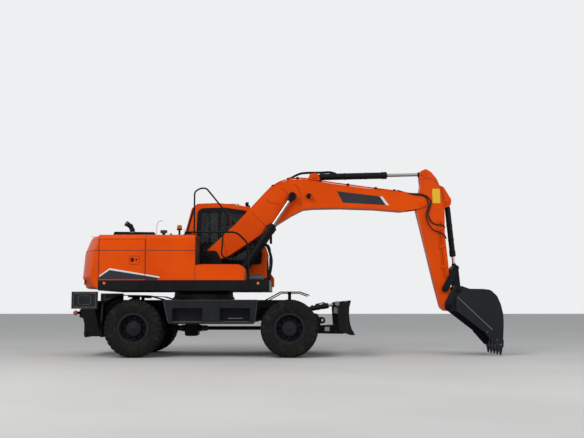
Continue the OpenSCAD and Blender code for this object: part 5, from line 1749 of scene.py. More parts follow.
@dataclass
class Lamps:
    """Beacon, marker lamps and work lamps, which stand for the CAD lamps."""

    half: float = 1240.0
    beacon: Point2 = (-500.0, 100.0)

    def build(self) -> None:
        """Builds all lamps of the upper body."""
        bx, by = self.beacon
        foot = Bench.lathe([(0, 0), (0, 42), (8, 42), (12, 22), (186, 20), (190, 52), (212, 54),
                            (216, 48), (216, 0)], (bx, by, 2205.3), (0, 0, 1), 40)
        finish_piece(foot, "beacon_post", "upper", Finish.BLACK, ["lamps"])
        ribs = [(0, 0), (0, 47)]
        for k in range(6):
            ribs += [(6 + 10 * k, 48), (9 + 10 * k, 46)]
        dome = Bench.lathe([*ribs, (66, 44), (74, 34), (79, 16), (79, 0)], (bx, by, 2420),
                           (0, 0, 1), 40)
        finish_piece(dome, "beacon_dome", "upper", Finish.AMBER, ["lamps"])
        lenses, rims = [], []
        for x in (-1669, 1088):
            for s in SIGNS:
                y = s * self.half
                rims.append(Bench.lathe([(0.3, 0), (0.3, 31), (5, 31), (8, 27), (8, 0)],
                                        (x, y, 1327), (0, s, 0), 32))
                lenses.append(Bench.lathe([(0, 0), (0, 25), (4, 24), (6, 14), (6.4, 0)],
                                          (x, y + s * 7.4, 1327), (0, s, 0), 32))
        finish_piece(rims, "marker_rims", "upper", Finish.BLACK, ["lamps"])
        finish_piece(lenses, "marker_lenses", "upper", Finish.AMBER, ["lamps"])
        shells, glass = [], []
        for y in (480, 1100):
            shells.append(Bench.lathe([(0, 0), (0, 30), (26, 46), (64, 48), (68, 44), (58, 38),
                                       (58, 0)], (762, y, 2945), (1, 0, 0), 6))
            shells.append(Bench.plate([(778, 2886), (812, 2880), (812, 2914), (778, 2914)], y - 22,
                                      y + 22))
            glass.append(Bench.lathe([(0, 0), (0, 38), (4, 36), (6, 0)], (820, y, 2945), (1, 0, 0),
                                     32))
        finish_piece(shells, "roof_lamp_shells", "upper", Finish.BLACK, ["lamps"])
        finish_piece(glass, "roof_lamp_lenses", "upper", Finish.CLEAR, ["lamps"])


@dataclass
class Rails:
    """Smooth handrails that stand for the CAD rails, with their feet."""

    y: float = -1150.0
    top: float = 2205.3
    deck: float = 1384.6

    def build(self) -> None:
        """Builds the rails, the mirror stay and the mirrors' faces."""
        def at(points: Sequence[Point2]) -> list[Point3]:
            """Rail points in the rails' plane."""
            return [(x, self.y, z) for x, z in points]
        top = self.top
        routes = [
            (17, 90, at([(-236, top), (-236, 2254), (690, 2254), (895, 2062), (912, self.deck)])),
            (14, 60, at([(449, 2254), (422, 1833), (511, 1774), (908, 1774)])),
            (15, 90, at([(-75, top), (-75, 2990), (31, 3055), (139, 3055), (511, 2600),
                         (511, 2252)])),
            (17, 90, [(-1600, 1100, top), (-1600, 1100, 2330), (-700, 1100, 2330),
                      (-700, 1100, top)]),
            (14, 45, [(1203.5, 560, 1450), (1262, 560, 1450), (1262, 560, 2060),
                      (1215, 560, 2147), (1145, 560, 2121)]),
        ]
        pipes = [Bench.pipe(points, r, cut, 24) for r, cut, points in routes]
        feet = []
        for x, y, z in ((-236, self.y, top), (912, self.y, self.deck), (-75, self.y, top),
                        (-1600, 1100, top), (-700, 1100, top)):
            feet.append(Bench.lathe([(0, 0), (0, 36), (8, 36), (11, 22), (24, 19), (24, 0)],
                                    (x, y, z), (0, 0, 1), 28))
            bolt = Bench.bolt((x + 28, y, z + 8), (0, 0, 1), 10, 6, False)
            feet.append(Bench.ring(bolt, (x, y, z), (0, 0, 1), 4))
        finish_piece([*pipes, *feet], "handrails_smooth", "upper", Finish.BLACK, ["handrails"])
        faces, rims = [], []
        for table, x in ((oblong(-1234, 2376, -1066, 2584, 28), 529),
                         (oblong(1091, 2206, 1249, 2474, 28), 1240)):
            mid = (sum(c[0] for c in table) / 4, sum(c[1] for c in table) / 4)
            face = soft_outline(shifted(table, -8, mid))
            faces.append(Bench.plate(face, x - 1.5, x, Plane.YZ, 0.5))
            rims.append(trim_ring(table, 9, x - 4, x, Plane.YZ))
        finish_piece(faces, "mirror_faces", "upper", Finish.MIRROR)
        clips = [Bench.block((498, 534), (-1170, -1130), (z - 16, z + 16), 5)
                 for z in (2420, 2540)]
        finish_piece([*rims, *clips], "mirror_rims", "upper", Finish.BLACK)


@dataclass
class Cab:
    """Window rubbers, wiper and door handle of the cab, and what stands inside."""

    right_y: float = 345.0
    left_y: float = 1240.0
    border: tuple[Corner, ...] = ((-218, 1735, 50), (1095, 1735, 60), (1108, 1962, 90),
                                  (797, 2800, 70), (365, 2866, 200), (-175, 2850, 130))
    quarter: tuple[Corner, ...] = ((-172, 1754, 60), (180, 1754, 50), (180, 2835, 50),
                                   (-99, 2825, 60))
    door: tuple[Corner, ...] = ((310, 1760, 50), (1045, 1760, 50), (1045, 1970, 90),
                                (765, 2745, 50), (365, 2802, 10), (310, 2795, 20))

    @staticmethod
    def front_x(z: float, off: float = 0.0) -> float:
        """Place of the cab's front face at a height."""
        return (1203.0 if z < 1960 else 1203.0 - (z - 1960) * 338 / 915) + off

    def build(self) -> None:
        """Builds the cab's fittings."""
        self.rubbers()
        self.windscreen()
        self.door_fittings()
        self.inside()

    def rubbers(self) -> None:
        """The black rubbers and glass borders round the side windows."""
        right = trim_ring(self.border, 84, self.right_y - 3, self.right_y + 1)
        edge = Bench.plate([(-412, 2205), (-374, 2205), (-358, 2378), (-226, 2866), (-262, 2872),
                            (-398, 2378)], self.right_y - 3, self.right_y + 9)
        post = Bench.block((228, 262), (self.right_y + 10, self.right_y + 17), (1762, 2836), 2)
        inner = trim_ring([(270, 1775, 40), (1040, 1775, 40), (1046, 1962, 70), (752, 2740, 50),
                           (365, 2800, 150), (270, 2802, 40)], 16, self.right_y + 8,
                          self.right_y + 14)
        left = trim_ring(shifted(self.quarter, 8, (60, 2300)), 30, self.left_y - 1,
                         self.left_y + 3)
        finish_piece([right, edge, post, inner, left], "window_rubbers", "upper", Finish.BLACK)
        door = trim_ring(shifted(self.door, 8, (680, 2300)), 32, self.left_y - 1, self.left_y + 3)
        finish_piece(door, "door_window_rubber", "cab_door", Finish.BLACK)

    def windscreen(self) -> None:
        """The windscreen's rubber, the wiper and the seals of rear window and roof hatch."""
        parts = []
        rise = [1500.0, 1700.0, 1880.0, 1990.0, 2100.0, 2400.0, 2740.0]
        for y in (self.right_y + 60, self.left_y - 60):
            line = [(self.front_x(z, 1 if z not in (1880.0, 1990.0) else -9), y, z) for z in rise]
            parts.append(Bench.pipe(line, 11, 40, 8))
        for z in (1500.0, 2740.0):
            line = [(self.front_x(z, 1), y, z) for y in (self.right_y + 60, self.left_y - 60)]
            parts.append(Bench.pipe(line, 11, 20, 8))
        bar = [(self.front_x(2050, 2), self.right_y + 62, 2050),
               (self.front_x(2050, 2), self.left_y - 62, 2050)]
        parts.append(Bench.pipe(bar, 12, 10, 8))
        hub = Bench.lathe([(0, 0), (0, 22), (16, 22), (24, 15), (24, 0)], (1203, 1206, 1640),
                          (1, 0, 0), 24)
        arm = Bench.pipe([(1221, 1206, 1640), (1224, 1196, 1900),
                          (self.front_x(2260, 16), 1164, 2260)], 6, 60, 8)
        blade = Bench.pipe([(self.front_x(z, 9), 1158, z) for z in (2010, 2260, 2500)], 7, 40, 6)
        rear = oblong(self.right_y + 84, 2234, self.left_y - 84, 2330, 50)
        rear = trim_ring(rear, 14, -434, -426, Plane.YZ)
        finish_piece([*parts, hub, arm, blade, rear], "windscreen_rubber_and_wiper", "upper",
                     Finish.BLACK)
        hatch = oblong(112, self.right_y + 142, 628, self.left_y - 142, 64)
        hatch = trim_ring(hatch, 18, 2944, 2955, Plane.XY)
        finish_piece(hatch, "roof_hatch_seal", "upper", Finish.BLACK)

    def door_fittings(self) -> None:
        """The handle, lock, grab bar and pressed fold of the cab door."""
        y = self.left_y
        cup = trim_ring(oblong(930, 1640, 1060, 1715, 24), 12, y, y + 5)
        grip = Bench.plate(soft_outline(oblong(940, 1662, 1050, 1694, 10)), y, y + 11)
        key = Bench.lathe([(0, 0), (0, 11), (4, 11), (5, 8), (5, 0)], (1080, y, 1678), (0, 1, 0),
                          16)
        rail = Bench.pipe([(300, y - 2, 1500), (300, y + 5, 1500), (300, y + 5, 1700),
                           (300, y - 2, 1700)], 8, 5, 10)
        finish_piece([cup, grip, key, rail], "cab_door_handle", "cab_door", Finish.BLACK)
        fold = trim_ring([(290, 1460, 60), (1070, 1460, 60), (1070, 1730, 40), (290, 1730, 40)],
                         10, y, y + 3)
        finish_piece(fold, "cab_door_fold", "cab_door", Finish.ORANGE)

    def inside(self) -> None:
        """The floor mat, pedals, monitor, levers with their boots, arm pads and rear lining."""
        mid = (self.right_y + self.left_y) / 2
        mat = Bench.plate(soft_outline(oblong(30, self.right_y + 60, 1120, self.left_y - 60, 40)),
                          1429.8, 1436, Plane.XY, 2)
        ribs = [Bench.block((640 + 42 * k, 656 + 42 * k), (mid - 330, mid + 330), (1436, 1440),
                            1.5) for k in range(8)]
        pedals = []
        for s in (-1, 1):
            pedals.append(Bench.plate([(930, 1440), (1010, 1520), (1000, 1530), (915, 1452)],
                                      mid + s * 150 - 45, mid + s * 150 + 45))
            pedals.append(Bench.pipe([(985, mid + s * 150, 1500), (1000, mid + s * 150, 1640),
                                      (960, mid + s * 190, 1760)], 11, 50, 10))
            pedals.append(Bench.lathe([(0, 0), (0, 15), (20, 19), (80, 17), (92, 10), (92, 0)],
                                      (958, mid + s * 191, 1765), (-0.2, 0, 1), 20))
        finish_piece([mat, *ribs, *pedals], "cab_floor_and_pedals", "upper", Finish.GRAIN)
        screen = Bench.plate(soft_outline(oblong(430, 2010, 600, 2150, 14)), 1010, 1046, Plane.YZ,
                             6)
        neck = Bench.pipe([(1046, 500, 2040), (1082, 470, 1990), (1100, 440, 1900)], 12, 30, 10)
        boots = []
        for s in (-1, 1):
            y = mid + s * 290
            folds = [(0, 0), (0, 34), (10, 34), (14, 26), (24, 28), (28, 20), (38, 22), (44, 14),
                     (44, 0)]
            boots.append(Bench.lathe(folds, (550, y, 1852), (0, 0, 1), 28))
            knob = [(0, 0), (0, 15), (14, 18), (50, 22), (80, 25), (98, 20), (106, 8), (106, 0)]
            boots.append(Bench.lathe(knob, (550, y, 1920), (0.1, 0, 1), 28))
            pad = Bench.plate(soft_outline(oblong(200, y - 42, 470, y + 42, 30)), 1850, 1890,
                              Plane.XY, 12)
            boots.append(pad)
        finish_piece([screen, neck, *boots], "monitor_and_levers", "upper", Finish.GRAIN)
        panel = Bench.plate(soft_outline(oblong(444, 2022, 586, 2138, 8)), 1008.5, 1011, Plane.YZ,
                            0.5)
        finish_piece(panel, "monitor_face", "upper", Finish.GLASS)
        lining = Bench.block((-360, -200), (self.right_y + 70, self.left_y - 70), (1440, 2150), 20)
        shelf = Bench.block((-370, -130), (self.right_y + 60, self.left_y - 60), (2150, 2190), 12)
        finish_piece([lining, shelf], "cab_rear_lining", "upper", Finish.GRAIN)


@dataclass
class Seat:
    """The driver's seat: padded cushions on a bellows base, which stand for the CAD seat."""

    mid_y: float = 792.5
    floor_z: float = 1429.9
    voxel: float = 0.006
    swell: float = 0.012
    channel: float = 0.006
    rise: float = 0.014
    cloth_frames: int = 20
    pressure: float = 4.0

    def build(self) -> None:
        """Builds base, shells and the three padded parts."""
        self.base()
        y = self.mid_y
        self.cushion("seat_cushion", ((325, y, 1702), (500, 452, 96), 3.0))
        self.cushion("seat_back", ((62, y, 2008), (104, 432, 560), -7.0))
        self.cushion("seat_head_rest", ((20, y, 2420), (76, 236, 128), -4.0))

    def base(self) -> None:
        """The bellows, the slides and the moulded shells of the seat."""
        y = self.mid_y
        folds = []
        for k in range(6):
            z = self.floor_z + 44 + k * 26
            folds.append(Bench.block((140 + 4 * (k % 2), 470 - 4 * (k % 2)),
                                     (y - 165 + 4 * (k % 2), y + 165 - 4 * (k % 2)), (z, z + 24),
                                     10))
        foot = Bench.block((130, 480), (y - 170, y + 170), (self.floor_z + 0.3, self.floor_z + 42),
                           6)
        pan = Bench.plate(soft_outline([(80, 1632, 20), (575, 1640, 30), (580, 1662, 10),
                                        (80, 1656, 10)]), y - 232, y + 232, bevel=8)
        shell = Bench.plate(soft_outline([(4, 1700, 10), (22, 1700, 10), (-44, 2320, 10),
                                          (-60, 2320, 10)]), y - 215, y + 215, bevel=6)
        posts = [Bench.rod((-20, y + s * 60, 2290), (8, y + s * 60, 2380), 8, 16) for s in SIGNS]
        levers = [Bench.pipe([(300, y + s * 215, 1640), (300, y + s * 262, 1640),
                              (380, y + s * 262, 1652)], 8, 20, 10) for s in SIGNS]
        belt = Bench.plate(soft_outline([(120, 1716, 10), (190, 1716, 10), (190, 1790, 16),
                                         (120, 1790, 16)]), y + 232, y + 250, bevel=4)
        finish_piece([*folds, foot, pan, shell, *posts, *levers, belt], "seat_base", "upper",
                     Finish.GRAIN, ["seat"])

    def cushion(self, name: str, place: tuple[Point3, Point3, float]) -> None:
        """One padded part, blown up as cloth and crowned.

        Args:
            name: The piece's name.
            place: Its middle, its size in millimetres, and its lean about Y in degrees.
        """
        middle, size, lean = place
        Bench.clear()
        bpy.ops.mesh.primitive_cube_add(size=1, location=(0, 0, 0))
        obj = bpy.context.object
        obj.scale = [v / MM for v in size]
        Bench.soften(Bench.settle(obj), min(size) * 0.3, 4)
        obj.data.remesh_voxel_size = self.voxel
        Bench.take(obj)
        bpy.ops.object.voxel_remesh()
        self.inflate(obj)
        Bench.apply(obj, "SMOOTH", factor=0.5, iterations=6)
        length, width, height = (v / MM for v in size)

        def seam(co: Vector) -> float:
            """Depth of the sewn channels at a place of the cushion."""
            return self.channel * sum(math.exp(-((co.y - s * width * 0.3) / self.channel) ** 2)
                                      for s in SIGNS)
        normals = [v.normal.copy() for v in obj.data.vertices]
        for vertex, normal in zip(obj.data.vertices, normals):
            vertex.co -= normal * seam(vertex.co)
        if height < length:
            for vertex in obj.data.vertices:
                if vertex.co.z > 0:
                    vertex.co.z += self.rise * (vertex.co.x / length) ** 2 * 4
        obj.data.transform(Matrix.Translation(G.point(*middle))
                           @ Matrix.Rotation(math.radians(lean), 4, "Y"))
        Bench.smooth(obj, 60)
        finish_piece(obj, name, "upper", Finish.CLOTH, ["seat"])

    def inflate(self, obj: Piece) -> None:
        """Blows a cushion up with the cloth modifier and caps how far a point moves."""
        start = [v.co.copy() for v in obj.data.vertices]
        mod = obj.modifiers.new("cloth", "CLOTH")
        mod.settings.use_pressure = True
        mod.settings.uniform_pressure_force = self.pressure
        mod.settings.effector_weights.gravity = 0
        mod.point_cache.frame_start, mod.point_cache.frame_end = 1, self.cloth_frames
        scene = bpy.context.scene
        for k in range(1, self.cloth_frames + 1):
            scene.frame_set(k)
        Bench.take(obj)
        bpy.ops.object.modifier_apply(modifier=mod.name)
        scene.frame_set(1)
        for vertex, was in zip(obj.data.vertices, start):
            move = vertex.co - was
            if move.length > self.swell:
                vertex.co = was + move.normalized() * self.swell


@dataclass
class Deck:
    """Pins, bolts and tread plates of the upper frame, and the hoses that rise to the boom."""

    half: float = 1240.0
    top: float = 1384.6
    foot: Point2 = (129.0, 1866.0)
    cylinder: Point2 = (672.0, 1470.0)

    def build(self) -> None:
        """Builds the deck's fittings."""
        caps = [pin_cap((self.foot[0], s * 205, self.foot[1]), s, 60, 3) for s in SIGNS]
        disc = Bench.lathe([(0, 0), (0, 44), (4, 44), (7, 40), (7, 0)],
                           (self.cylinder[0], 334, self.cylinder[1]), (0, 1, 0), 32)
        finish_piece([*caps, Bench.mirrored(disc)], "boom_foot_caps", "upper", Finish.BLACK)
        bolts = Bench.bolt((-1500, self.half, 1240), (0, 1, 0), 20, 8)
        bolts = Bench.spread(bolts, [(-1500 + 380 * k, self.half, 1236) for k in range(8)])
        lip = Bench.block((-1772, 1284), (self.half - 1, self.half + 3), (1197, 1212), 1.5)
        seam = [Bench.block((x, x + 5), (self.half - 1, self.half + 1.5), (1214, 1382), 0.5)
                for x in (-933, 40, 905)]
        finish_pair([bolts, lip, *seam], "skirt_trim", "upper", Finish.BLACK)
        self.treads()
        self.valves()

    def treads(self) -> None:
        """The chequered plates that are walked on."""
        parts = []
        for x0, x1, y0, y1 in ((870, 1270, -1190, -290), (1212, 1280, 350, 610)):
            parts.append(Bench.plate([(x0, y0), (x1, y0), (x1, y1), (x0, y1)], self.top,
                                     self.top + 3, Plane.XY, 1))
            spots = [(x0 + 20 + 30 * i, y0 + 20 + 30 * j, self.top + 3)
                     for i in range(int((x1 - x0) // 30)) for j in range(int((y1 - y0) // 30))]
            stud = Bench.plate([(x0 + 12, y0 + 18), (x0 + 20, y0 + 22), (x0 + 30, y0 + 22),
                                (x0 + 20, y0 + 18)], self.top + 3, self.top + 5, Plane.XY, 0)
            spots = [(x - spots[0][0], y - spots[0][1], z) for x, y, z in spots]
            parts.append(Bench.spread(stud, spots))
        finish_piece(parts, "deck_treads", "upper", Finish.CHARCOAL)

    def valves(self) -> None:
        """The valve block before the boom's foot, with its caps, and the hoses to the boom."""
        body = [Bench.block((860, 1150), (-140, 140), (self.top, 1500), 8),
                Bench.block((890, 1120), (-152, 152), (1410, 1470), 5)]
        for k in range(5):
            body.append(Bench.lathe([(0, 0), (0, 22), (30, 22), (36, 16), (60, 14), (64, 0)],
                                    (890 + 55 * k, -140, 1440), (0, -1, 0), 16))
            body.append(Bench.lathe([(0, 0), (0, 24), (24, 24), (30, 17), (30, 0)],
                                    (890 + 55 * k, 60, 1500), (0, 0, 1), 16))
        finish_piece(body, "valve_block", "upper", Finish.IRON)
        hoses, ends = [], []
        for y, out, r in ((-128, 34, 15), (-92, 10, 15), (-56, 28, 13), (56, 28, 13), (92, 10, 15),
                          (128, 34, 15)):
            route = [(1150, y, 1440), (1216 + out, y, 1450), (1262 + out, y, 1620),
                     (1282 + out, y, 1830), (1216 + out, y, 2050), (1120, y * 0.94, 2190),
                     (1052, y * 0.94, 2244)]
            hoses.append(Bench.pipe(route, r, 110, 12))
            ends.append(Bench.lathe([(-20, 0), (-20, r + 5), (26, r + 5), (34, r + 1), (34, 0)],
                                    (1062, y * 0.94, 2236), (0.78, 0, -0.62), 8))
        made = finish_piece(hoses, "boom_foot_hoses", None, Finish.HOSE)
        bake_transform(made)
        finish_piece(ends, "boom_foot_hose_ends", "boom", Finish.IRON)


def _flat(p: Point2, y: float) -> Point3:
    """A point in X and Z with its place along Y."""
    return (p[0], y, p[1])


@dataclass
class Boom:
    """Pipes, welds, sign, lamp and pin caps of the boom, its rams, and the hoses that leave it."""

    half: float = 180.0
    foot_half: float = 154.7
    foot_end: float = 340.0
    top: tuple[Point2, ...] = ((1420.0, 1004.0), (1640.0, 1086.0), (1860.0, 1086.0),
                               (2100.0, 1042.0), (2585.0, 832.0), (3212.0, 580.0), (3800.0, 350.0))
    welds: tuple[tuple[Point2, ...], ...] = (
        ((973, 633), (1168, 306)),
        ((1325, 822), (1320, 770), (1350, 730), (1437, 698), (1531, 642)),
        ((1645, 930), (1707, 876), (1731, 805), (1692, 730), (1624, 673)),
        ((1910, 964), (1964, 876), (1978, 722), (1923, 586), (1933, 498)),
        ((50, 73), (101, -111)))
    upper_edge: tuple[Point2, ...] = ((360, 320), (615, 468), (1382, 968), (1640, 1044),
                                      (1860, 1042), (2100, 997), (2585, 786), (3212, 534),
                                      (3992, 251))
    lower_edge: tuple[Point2, ...] = ((390, -48), (770, 92), (1391, 309), (1707, 411), (1950, 468),
                                      (2129, 442), (2637, 324), (3298, 135), (3770, -28))

    def build(self) -> None:
        """Builds the boom's fittings."""
        self.beads()
        self.sign()
        self.pipes()
        self.lamp()
        self.caps()
        Ram("boom", "boom_barrels", "boom_rods", (672, 1470), G.on_boom(1807, 731), y=262, r=64,
            rod_r=36, length=1180, neck=110, eye_r=75, eye_half=50).build()
        Ram("arm", "arm_barrel", "arm_rod", G.on_boom(2320, 1021), G.on_arm(-556, 184), y=0, r=63,
            rod_r=32, length=1400, neck=110, eye_r=66, eye_half=50, off=0.3, across=0.95,
            paired=False).build()
        self.hoses()

    def on(self, u: float, y: float, v: float) -> Point3:
        """A point of the boom's own frame, out to a side."""
        x, z = G.on_boom(u, v)
        return (x, y, z)

    def flank(self, route: Sequence[Point2]) -> list[Point3]:
        """A route along the left flank, which stands further in at the boom's foot."""
        return [self.on(u, self.half if u > self.foot_end else self.foot_half, v)
                for u, v in route]

    def beads(self) -> None:
        """The weld beads on both flanks."""
        parts = [Bench.pipe(self.flank(route), 3.2, 90, 6)
                 for route in (self.upper_edge, self.lower_edge)]
        finish_pair(parts, "boom_welds", "boom", Finish.ORANGE)
        seams = [Bench.pipe(self.flank(route), 4.5, 90, 6) for route in self.welds]
        finish_pair(seams, "boom_seams", "boom", Finish.SEAM)

    def sign(self) -> None:
        """The blank dark panel along the flank, with its pale band at the front."""
        y = self.half
        panel = Bench.plate([(2559, 3125), (3439, 3017), (3565, 2851), (2678, 2901)], y, y + 1.5,
                            bevel=0)
        finish_pair(panel, "flank_panel", "boom", Finish.NAVY)
        band = Bench.plate([(3385, 3023.6), (3439, 3017), (3565, 2851), (3505, 2854.4)], y + 1.5,
                           y + 2.2, bevel=0)
        finish_pair(band, "flank_panel_band", "boom", Finish.WHITE)

    def pipes(self) -> None:
        """The two hard lines on either side of the boom's back, with their clamps."""
        lines, clamps = [], []
        for y in (116, 150):
            route = [self.on(u, y, v) for u, v in self.top]
            lines.append(Bench.pipe([self.on(1360, y, 950), *route], 11, 120, 12))
        for u, v, lean in ((1500, 1008, 18), (1990, 1040, -10), (2400, 887, -23), (2900, 680, -22),
                           (3400, 482, -22), (3740, 350, -22)):
            x, z = G.on_boom(u, v)
            clamp = Bench.block((-24, 24), (98, 168), (0, 46), 5)
            turn = Matrix.Rotation(-math.radians(lean + G.boom_angle), 4, "Y")
            clamp.data.transform(Matrix.Translation(G.point(x, 0, z)) @ turn
                                 @ Matrix.Translation(-G.point(0, 0, 0)))
            clamps.append(clamp)
        finish_pair(lines, "boom_lines", "boom", Finish.ORANGE)
        finish_pair(clamps, "boom_line_clamps", "boom", Finish.BLACK)

    def lamp(self) -> None:
        """The work lamp on the right flank."""
        x, z = G.on_boom(2126, 653)
        shell = Bench.lathe([(-60, 0), (-60, 26), (-44, 44), (18, 52), (22, 48), (14, 44),
                             (14, 0)], (x, -250, z), (0.86, 0, -0.5), 32)
        bracket = Bench.plate(soft_outline(oblong(x - 46, z - 16, x + 10, z + 16, 8)), -206, -180)
        stem = Bench.rod((x - 18, -184, z), (x - 18, -236, z), 12, 16)
        finish_piece([shell, bracket, stem], "boom_lamp", "boom", Finish.BLACK)
        lens = Bench.lathe([(14, 0), (14, 43), (18, 41), (21, 20), (21, 0)], (x, -250, z),
                           (0.86, 0, -0.5), 32)
        finish_piece(lens, "boom_lamp_lens", "boom", Finish.CLEAR)

    def caps(self) -> None:
        """The caps of the nose pin, of the arm ram's base pin and of the boom rams' eyes."""
        parts = [pin_cap(_flat(G.nose, s * 180), s, 60, 3) for s in SIGNS]
        parts += [pin_cap(self.on(2320, s * 100, 1021), s, 44) for s in SIGNS]
        finish_piece(parts, "boom_pin_caps", "boom", Finish.ORANGE)
        eyes = [pin_cap(self.on(1807, s * 312, 731), s, 56, 2) for s in SIGNS]
        eyes += [Bench.lathe([(0.1, 57), (0.1, 75), (1.5, 74), (1.5, 57)],
                             self.on(1807, s * 312, 731), (0, s, 0), 40) for s in SIGNS]
        finish_piece(eyes, "boom_rod_eye_caps", "boom_rods", Finish.BLACK)

    def hoses(self) -> None:
        """The hoses from the boom's lines to the arm's ram and to the arm."""
        short = []
        for y, lift in ((-26, 0), (26, -12)):
            route = [(1600, y * 4, 3384 + lift * 0.2), (1657, y * 3, 3392), (1851, y, 3505 + lift),
                     (2060, y, 3516 + lift), (2257, y, 3516 + lift), (2431, y, 3528 + lift),
                     (2540, y, 3500 + lift), (2566, y, 3476)]
            short.append(Bench.pipe(route, 13, 110, 12))
        made = finish_piece(short, "arm_ram_hoses", None, Finish.HOSE)
        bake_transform(made)
        leads = []
        outer = [(3731, 3145), (3850, 3110), (3956, 3083), (4150, 3075), (4281, 3044),
                 (4396, 2930), (4340, 2790), (4308, 2671), (4380, 2520), (4484, 2472),
                 (4600, 2470), (4640, 2420)]
        inner = [(3731, 3145), (3850, 3110), (4020, 3062), (4200, 3046), (4281, 3006),
                 (4339, 2853), (4262, 2681), (4300, 2500), (4396, 2374), (4520, 2330),
                 (4620, 2290), (4660, 2210)]
        for s in SIGNS:
            for y, route in ((166, outer), (196, inner)):
                points = [(x, s * (y if i > 1 else 118 + (y - 166)), z)
                          for i, (x, z) in enumerate(route)]
                points[-1] = (points[-1][0], s * 152, points[-1][2])
                leads.append(Bench.pipe(points, 12, 90, 12))
        made = finish_piece(leads, "arm_hoses", None, Finish.HOSE)
        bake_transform(made)


@dataclass
class Arm:
    """Welds, the blank yellow plate, lines, pin caps and the ram of the arm."""

    half: float = 144.7
    upper_edge: tuple[Point2, ...] = ((-580, 262), (-520, 312), (-396, 380), (-261, 400),
                                      (103, 405), (693, 262), (1181, 196), (1715, 108))
    lower_edge: tuple[Point2, ...] = ((-560, 128), (-330, 86), (150, -108), (889, -118),
                                      (1596, -126), (1960, -116))
    end_weld: tuple[Point2, ...] = ((1560, 120), (1600, 0), (1560, -112))

    def build(self) -> None:
        """Builds the arm's fittings."""
        beads = [Bench.pipe(self.flank(route), 3.2, 90, 6)
                 for route in (self.upper_edge, self.lower_edge)]
        beads.append(Bench.pipe(self.flank(self.end_weld), 4.5, 80, 6))
        finish_pair(beads, "arm_welds", "arm", Finish.ORANGE)
        plate = Bench.plate(soft_outline([(4410, 2896, 10), (4560, 2896, 10), (4554, 3176, 10),
                                          (4404, 3176, 10)]), self.half, self.half + 2.5,
                            bevel=0.8)
        finish_pair(plate, "arm_yellow_plate", "arm", Finish.YELLOW)
        edge = [(4209, 3347), (4285, 3388), (4392, 3369), (4514, 3286), (4591, 3176), (4612, 2959),
                (4627, 2836)]
        finish_pair(Bench.pipe([_flat(p, self.half) for p in edge], 4.5, 60, 6), "arm_seams",
                    "arm", Finish.SHADOW)
        self.lines()
        self.caps()
        Ram("bucket", "bucket_barrel", "bucket_rod", G.on_arm(85, 500), G.on_arm(1359, 316), y=0,
            r=54, rod_r=28, length=1040, neck=95, eye_r=56, eye_half=48, off=-0.3, across=0.95,
            paired=False).build()

    def on(self, u: float, y: float, v: float) -> Point3:
        """A point of the arm's own frame, out to a side."""
        x, z = G.on_arm(u, v)
        return (x, y, z)

    def flank(self, route: Sequence[Point2]) -> list[Point3]:
        """A route along the left flank."""
        return [self.on(u, self.half, v) for u, v in route]

    def lines(self) -> None:
        """The hard lines along the arm's flanks with their clamps."""
        lines, clamps = [], []
        y = self.half + 15
        for inset in (58, 96):
            route = [(430, 326), (700, 261), (1100, 207), (1440, 154)]
            lines.append(Bench.pipe([self.on(u, y, v - inset) for u, v in route], 10, 60, 10))
            lines.append(Bench.lathe([(-24, 0), (-24, 16), (24, 16), (24, 0)],
                                     self.on(430, y, 326 - inset), self._along(430), 8))
            lines.append(Bench.lathe([(-24, 0), (-24, 16), (24, 16), (24, 0)],
                                     self.on(1440, y, 154 - inset), self._along(1440), 8))
        for u, v in ((560, 295), (900, 234), (1280, 179)):
            clamp = [self.on(u - 18, 0, v - 124), self.on(u + 18, 0, v - 124),
                     self.on(u + 18, 0, v - 36), self.on(u - 18, 0, v - 36)]
            clamps.append(Bench.plate([(p[0], p[2]) for p in clamp], self.half, self.half + 30,
                                      bevel=3))
        finish_pair([*lines, *clamps], "arm_lines", "arm", Finish.ORANGE)

    def _along(self, u: float) -> Point3:
        """The arm's direction."""
        return tuple(Vector(self.on(u + 1, 0, 0)) - Vector(self.on(u, 0, 0)))

    def caps(self) -> None:
        """The caps of the arm's pins, of the links and of the bucket."""
        parts = []
        for s in SIGNS:
            parts.append(pin_cap(self.on(-556, s * self.half, 184), s, 58, 2))
            parts.append(pin_cap(self.on(85, s * 95, 500), s, 42, 2))
        finish_piece(parts, "arm_pin_caps", "arm", Finish.ORANGE)
        low = [pin_cap(self.on(1697, s * 217, 19), s, 48, 2) for s in SIGNS]
        finish_piece(low, "guide_pin_caps", "arm", Finish.BLACK)
        joint = [pin_cap(self.on(1359, s * 212, 316), s, 46, 2) for s in SIGNS]
        finish_piece(joint, "link_pin_caps", "guide_links", Finish.BLACK)
        ends = [pin_cap(_flat(G.on_bucket(0, 0), s * 184), s, 56, 2) for s in SIGNS]
        ends += [pin_cap(self.on(1772, s * 184, 251), s, 50, 2) for s in SIGNS]
        finish_piece(ends, "bucket_pin_caps", "bucket", Finish.BLACK)


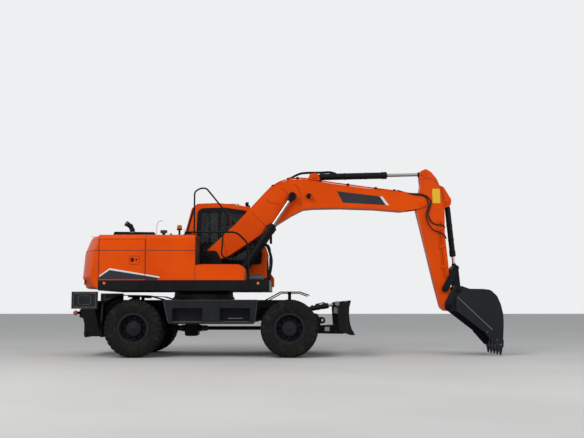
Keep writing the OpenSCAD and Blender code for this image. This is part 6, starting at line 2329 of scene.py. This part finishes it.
@dataclass
class Bucket:
    """Tooth pins, wear strips and welds of the bucket."""

    half: float = 575.0
    teeth: int = 5

    def build(self) -> None:
        """Builds the bucket's fittings."""
        pitch = (2 * self.half - 110) / (self.teeth - 1)
        pins = []
        for k in range(self.teeth):
            mid = -self.half + 55 + k * pitch
            x, z = G.on_bucket(892, -706)
            pins.append(Bench.rod((x, mid - 57, z), (x, mid + 57, z), 11, 16, 2))
        finish_piece(pins, "tooth_pins", "bucket", Finish.WORN)
        strips = []
        for y in (-420, -140, 140, 420):
            low = [G.on_bucket(*p) for p in ((937, -520), (945, -512), (928, -700), (917, -735))]
            strips.append(Bench.plate(low, y - 34, y + 34, bevel=2))
            high = [G.on_bucket(*p) for p in ((600, 322), (604, 333), (716, 319), (722, 309))]
            strips.append(Bench.plate(high, y - 34, y + 34, bevel=2))
        finish_piece(strips, "bucket_wear_strips", "bucket", Finish.WORN)
        beads = []
        edge = [G.on_bucket(*p) for p in ((120, 168), (262, 318), (345, 320), (560, 316),
                                          (716, 298), (826, 190), (892, 36), (932, -142),
                                          (936, -300), (925, -520))]
        beads.append(Bench.pipe([_flat(p, self.half - 1) for p in edge], 5, 60, 6))
        ear = [G.on_bucket(*p) for p in ((318, 26), (372, 200), (414, 326))]
        beads.append(Bench.pipe([_flat(p, 184) for p in ear], 6, 40, 6))
        lip = [G.on_bucket(*p) for p in ((600, -480), (690, -560), (812, -712))]
        beads.append(Bench.pipe([_flat(p, self.half - 2) for p in lip], 5, 40, 6))
        finish_pair(beads, "bucket_welds", "bucket", Finish.CHARCOAL)
        strip = Bench.plate([(4772, 1082), (4782, 1094), (5425, 486), (5415, 474)],
                            self.half - 0.5, self.half + 4, bevel=1)
        finish_pair(strip, "bucket_side_strips", "bucket", Finish.WORN)
        lines = [G.on_bucket(*p) for p in ((640, -470), (820, -610), (868, -700))]
        bolt = [Bench.bolt((x, self.half + 11, z), (0, 1, 0), 20, 9) for x, z in lines]
        finish_pair(bolt, "side_cutter_bolts", "bucket", Finish.WORN)


def main() -> None:
    """Builds the scene."""
    logging.basicConfig(level=logging.INFO, format="%(message)s")
    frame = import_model()
    Studio().build()
    looks = {look.value: look for look in Finish}
    for row in frame["record"]["subparts"]:
        look = looks[row["material_slot"]]
        if row["node"].startswith("rims_") and look is Finish.CHARCOAL:
            look = Finish.RIM
        repaint(frame, row["node"], Finish.DULL if row["node"] == "fenders" else look)
    Wheels().build()
    Undercarriage().build()
    BladeFittings().build()
    Outriggers().build()
    Housing().build()
    Lamps().build()
    Rails().build()
    Cab().build()
    Seat().build()
    Deck().build()
    Boom().build()
    Arm().build()
    Bucket().build()


if __name__ == "__main__":
    main()
